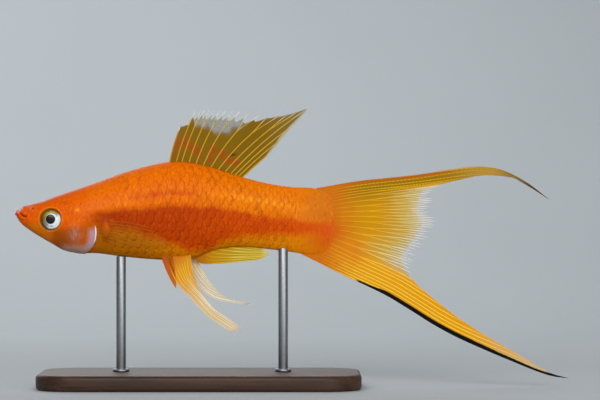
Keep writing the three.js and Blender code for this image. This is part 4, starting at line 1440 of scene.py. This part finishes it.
# Floor, backdrop, lights and camera
studio = {
    "floor": "#b6bcc0",
    "mottle": "#aeb5b9",
    "depth": (-2.5, 0.55),
    "width": 5,
    "height": 0.75,
    "sweep": 0.3,
    "lens": 180,
    "away": 0.69,
    "aimX": 0.023,
    "aimZ": 0.0431,
    "lights": [  # name, place, size, power
        ("keyLight", (-0.05, -0.56, 0.3), (0.45, 0.3), 2.7),
        ("fillLight", (0.35, -0.52, 0.09), (0.4, 0.16), 1.0),
        ("rimLight", (0.05, 0.38, 0.4), (0.5, 0.2), 0.6),
        ("farLight", (-0.1, 0.5, 0.2), (0.5, 0.3), 1.2),
    ],
    "air": (0.97, 0.98, 1.0, 1),
    "airStrength": 0.3,
}


def buildFloor():
    near, far = studio["depth"]
    bpy.ops.mesh.primitive_plane_add(size=1, location=(0, (near + far) / 2, 0))
    floor = newPiece("floor")
    floor.scale = (studio["width"], far - near, 1)
    bpy.ops.object.transform_apply(location=True, rotation=True, scale=True)
    bpy.ops.object.mode_set(mode="EDIT")
    shape = bmesh.from_edit_mesh(floor.data)

    def selectFarEdge():
        bpy.ops.mesh.select_all(action="DESELECT")
        for edge in shape.edges:
            edge.select = all(vertex.co.y > far - 0.001 and vertex.co.z < 0.001 for vertex in edge.verts)

    selectFarEdge()
    bpy.ops.mesh.extrude_region_move(TRANSFORM_OT_translate={"value": (0, 0, studio["height"])})
    selectFarEdge()
    bpy.ops.mesh.bevel(offset=studio["sweep"], segments=24, affect="EDGES")
    bpy.ops.object.mode_set(mode="OBJECT")
    bpy.ops.object.shade_smooth()
    paint = Paint("paleFloor")
    colour = paint.mix(studio["floor"], studio["mottle"], paint.noise(paint.where(), 9, 3))
    dull = {"Base Color": colour, "Roughness": 0.8, "Specular IOR Level": 0.1}
    paper = paint.add("BsdfPrincipled", inputs=dull)
    behind = paint.add("NewGeometry", out="Backfacing")  # the backdrop hides nothing from behind
    nothing = paint.add("BsdfTransparent")
    shader = paint.add("MixShader", inputs={0: behind, 1: paper, 2: nothing})
    floor.data.materials.append(paint.finish(shader))


def softLight(name, place, size, power):
    bpy.ops.object.light_add(type="AREA", location=place)
    light = bpy.context.object
    light.name = name
    light.data.shape = "RECTANGLE"
    light.data.size, light.data.size_y = size
    light.data.energy = power
    aim = Vector((studio["aimX"], 0, studio["aimZ"]))
    light.rotation_euler = (aim - Vector(place)).to_track_quat("-Z", "Y").to_euler()


def buildStudio():
    buildFloor()
    for row in studio["lights"]:
        softLight(*row)
    world = bpy.data.worlds.new("studioAir")
    bpy.context.scene.world = world
    world.use_nodes = True
    air = world.node_tree.nodes["Background"]
    air.inputs["Color"].default_value = studio["air"]
    air.inputs["Strength"].default_value = studio["airStrength"]
    viewpoint = (studio["aimX"], -studio["away"], studio["aimZ"])
    bpy.ops.object.camera_add(location=viewpoint, rotation=(math.pi / 2, 0, 0))
    camera = bpy.context.object
    camera.data.lens = studio["lens"]
    camera.data.sensor_width = 36
    camera.data.clip_start = 0.01
    bpy.context.scene.camera = camera
    bpy.context.scene.view_settings.view_transform = "Standard"
    print("studio done")


buildStudio()
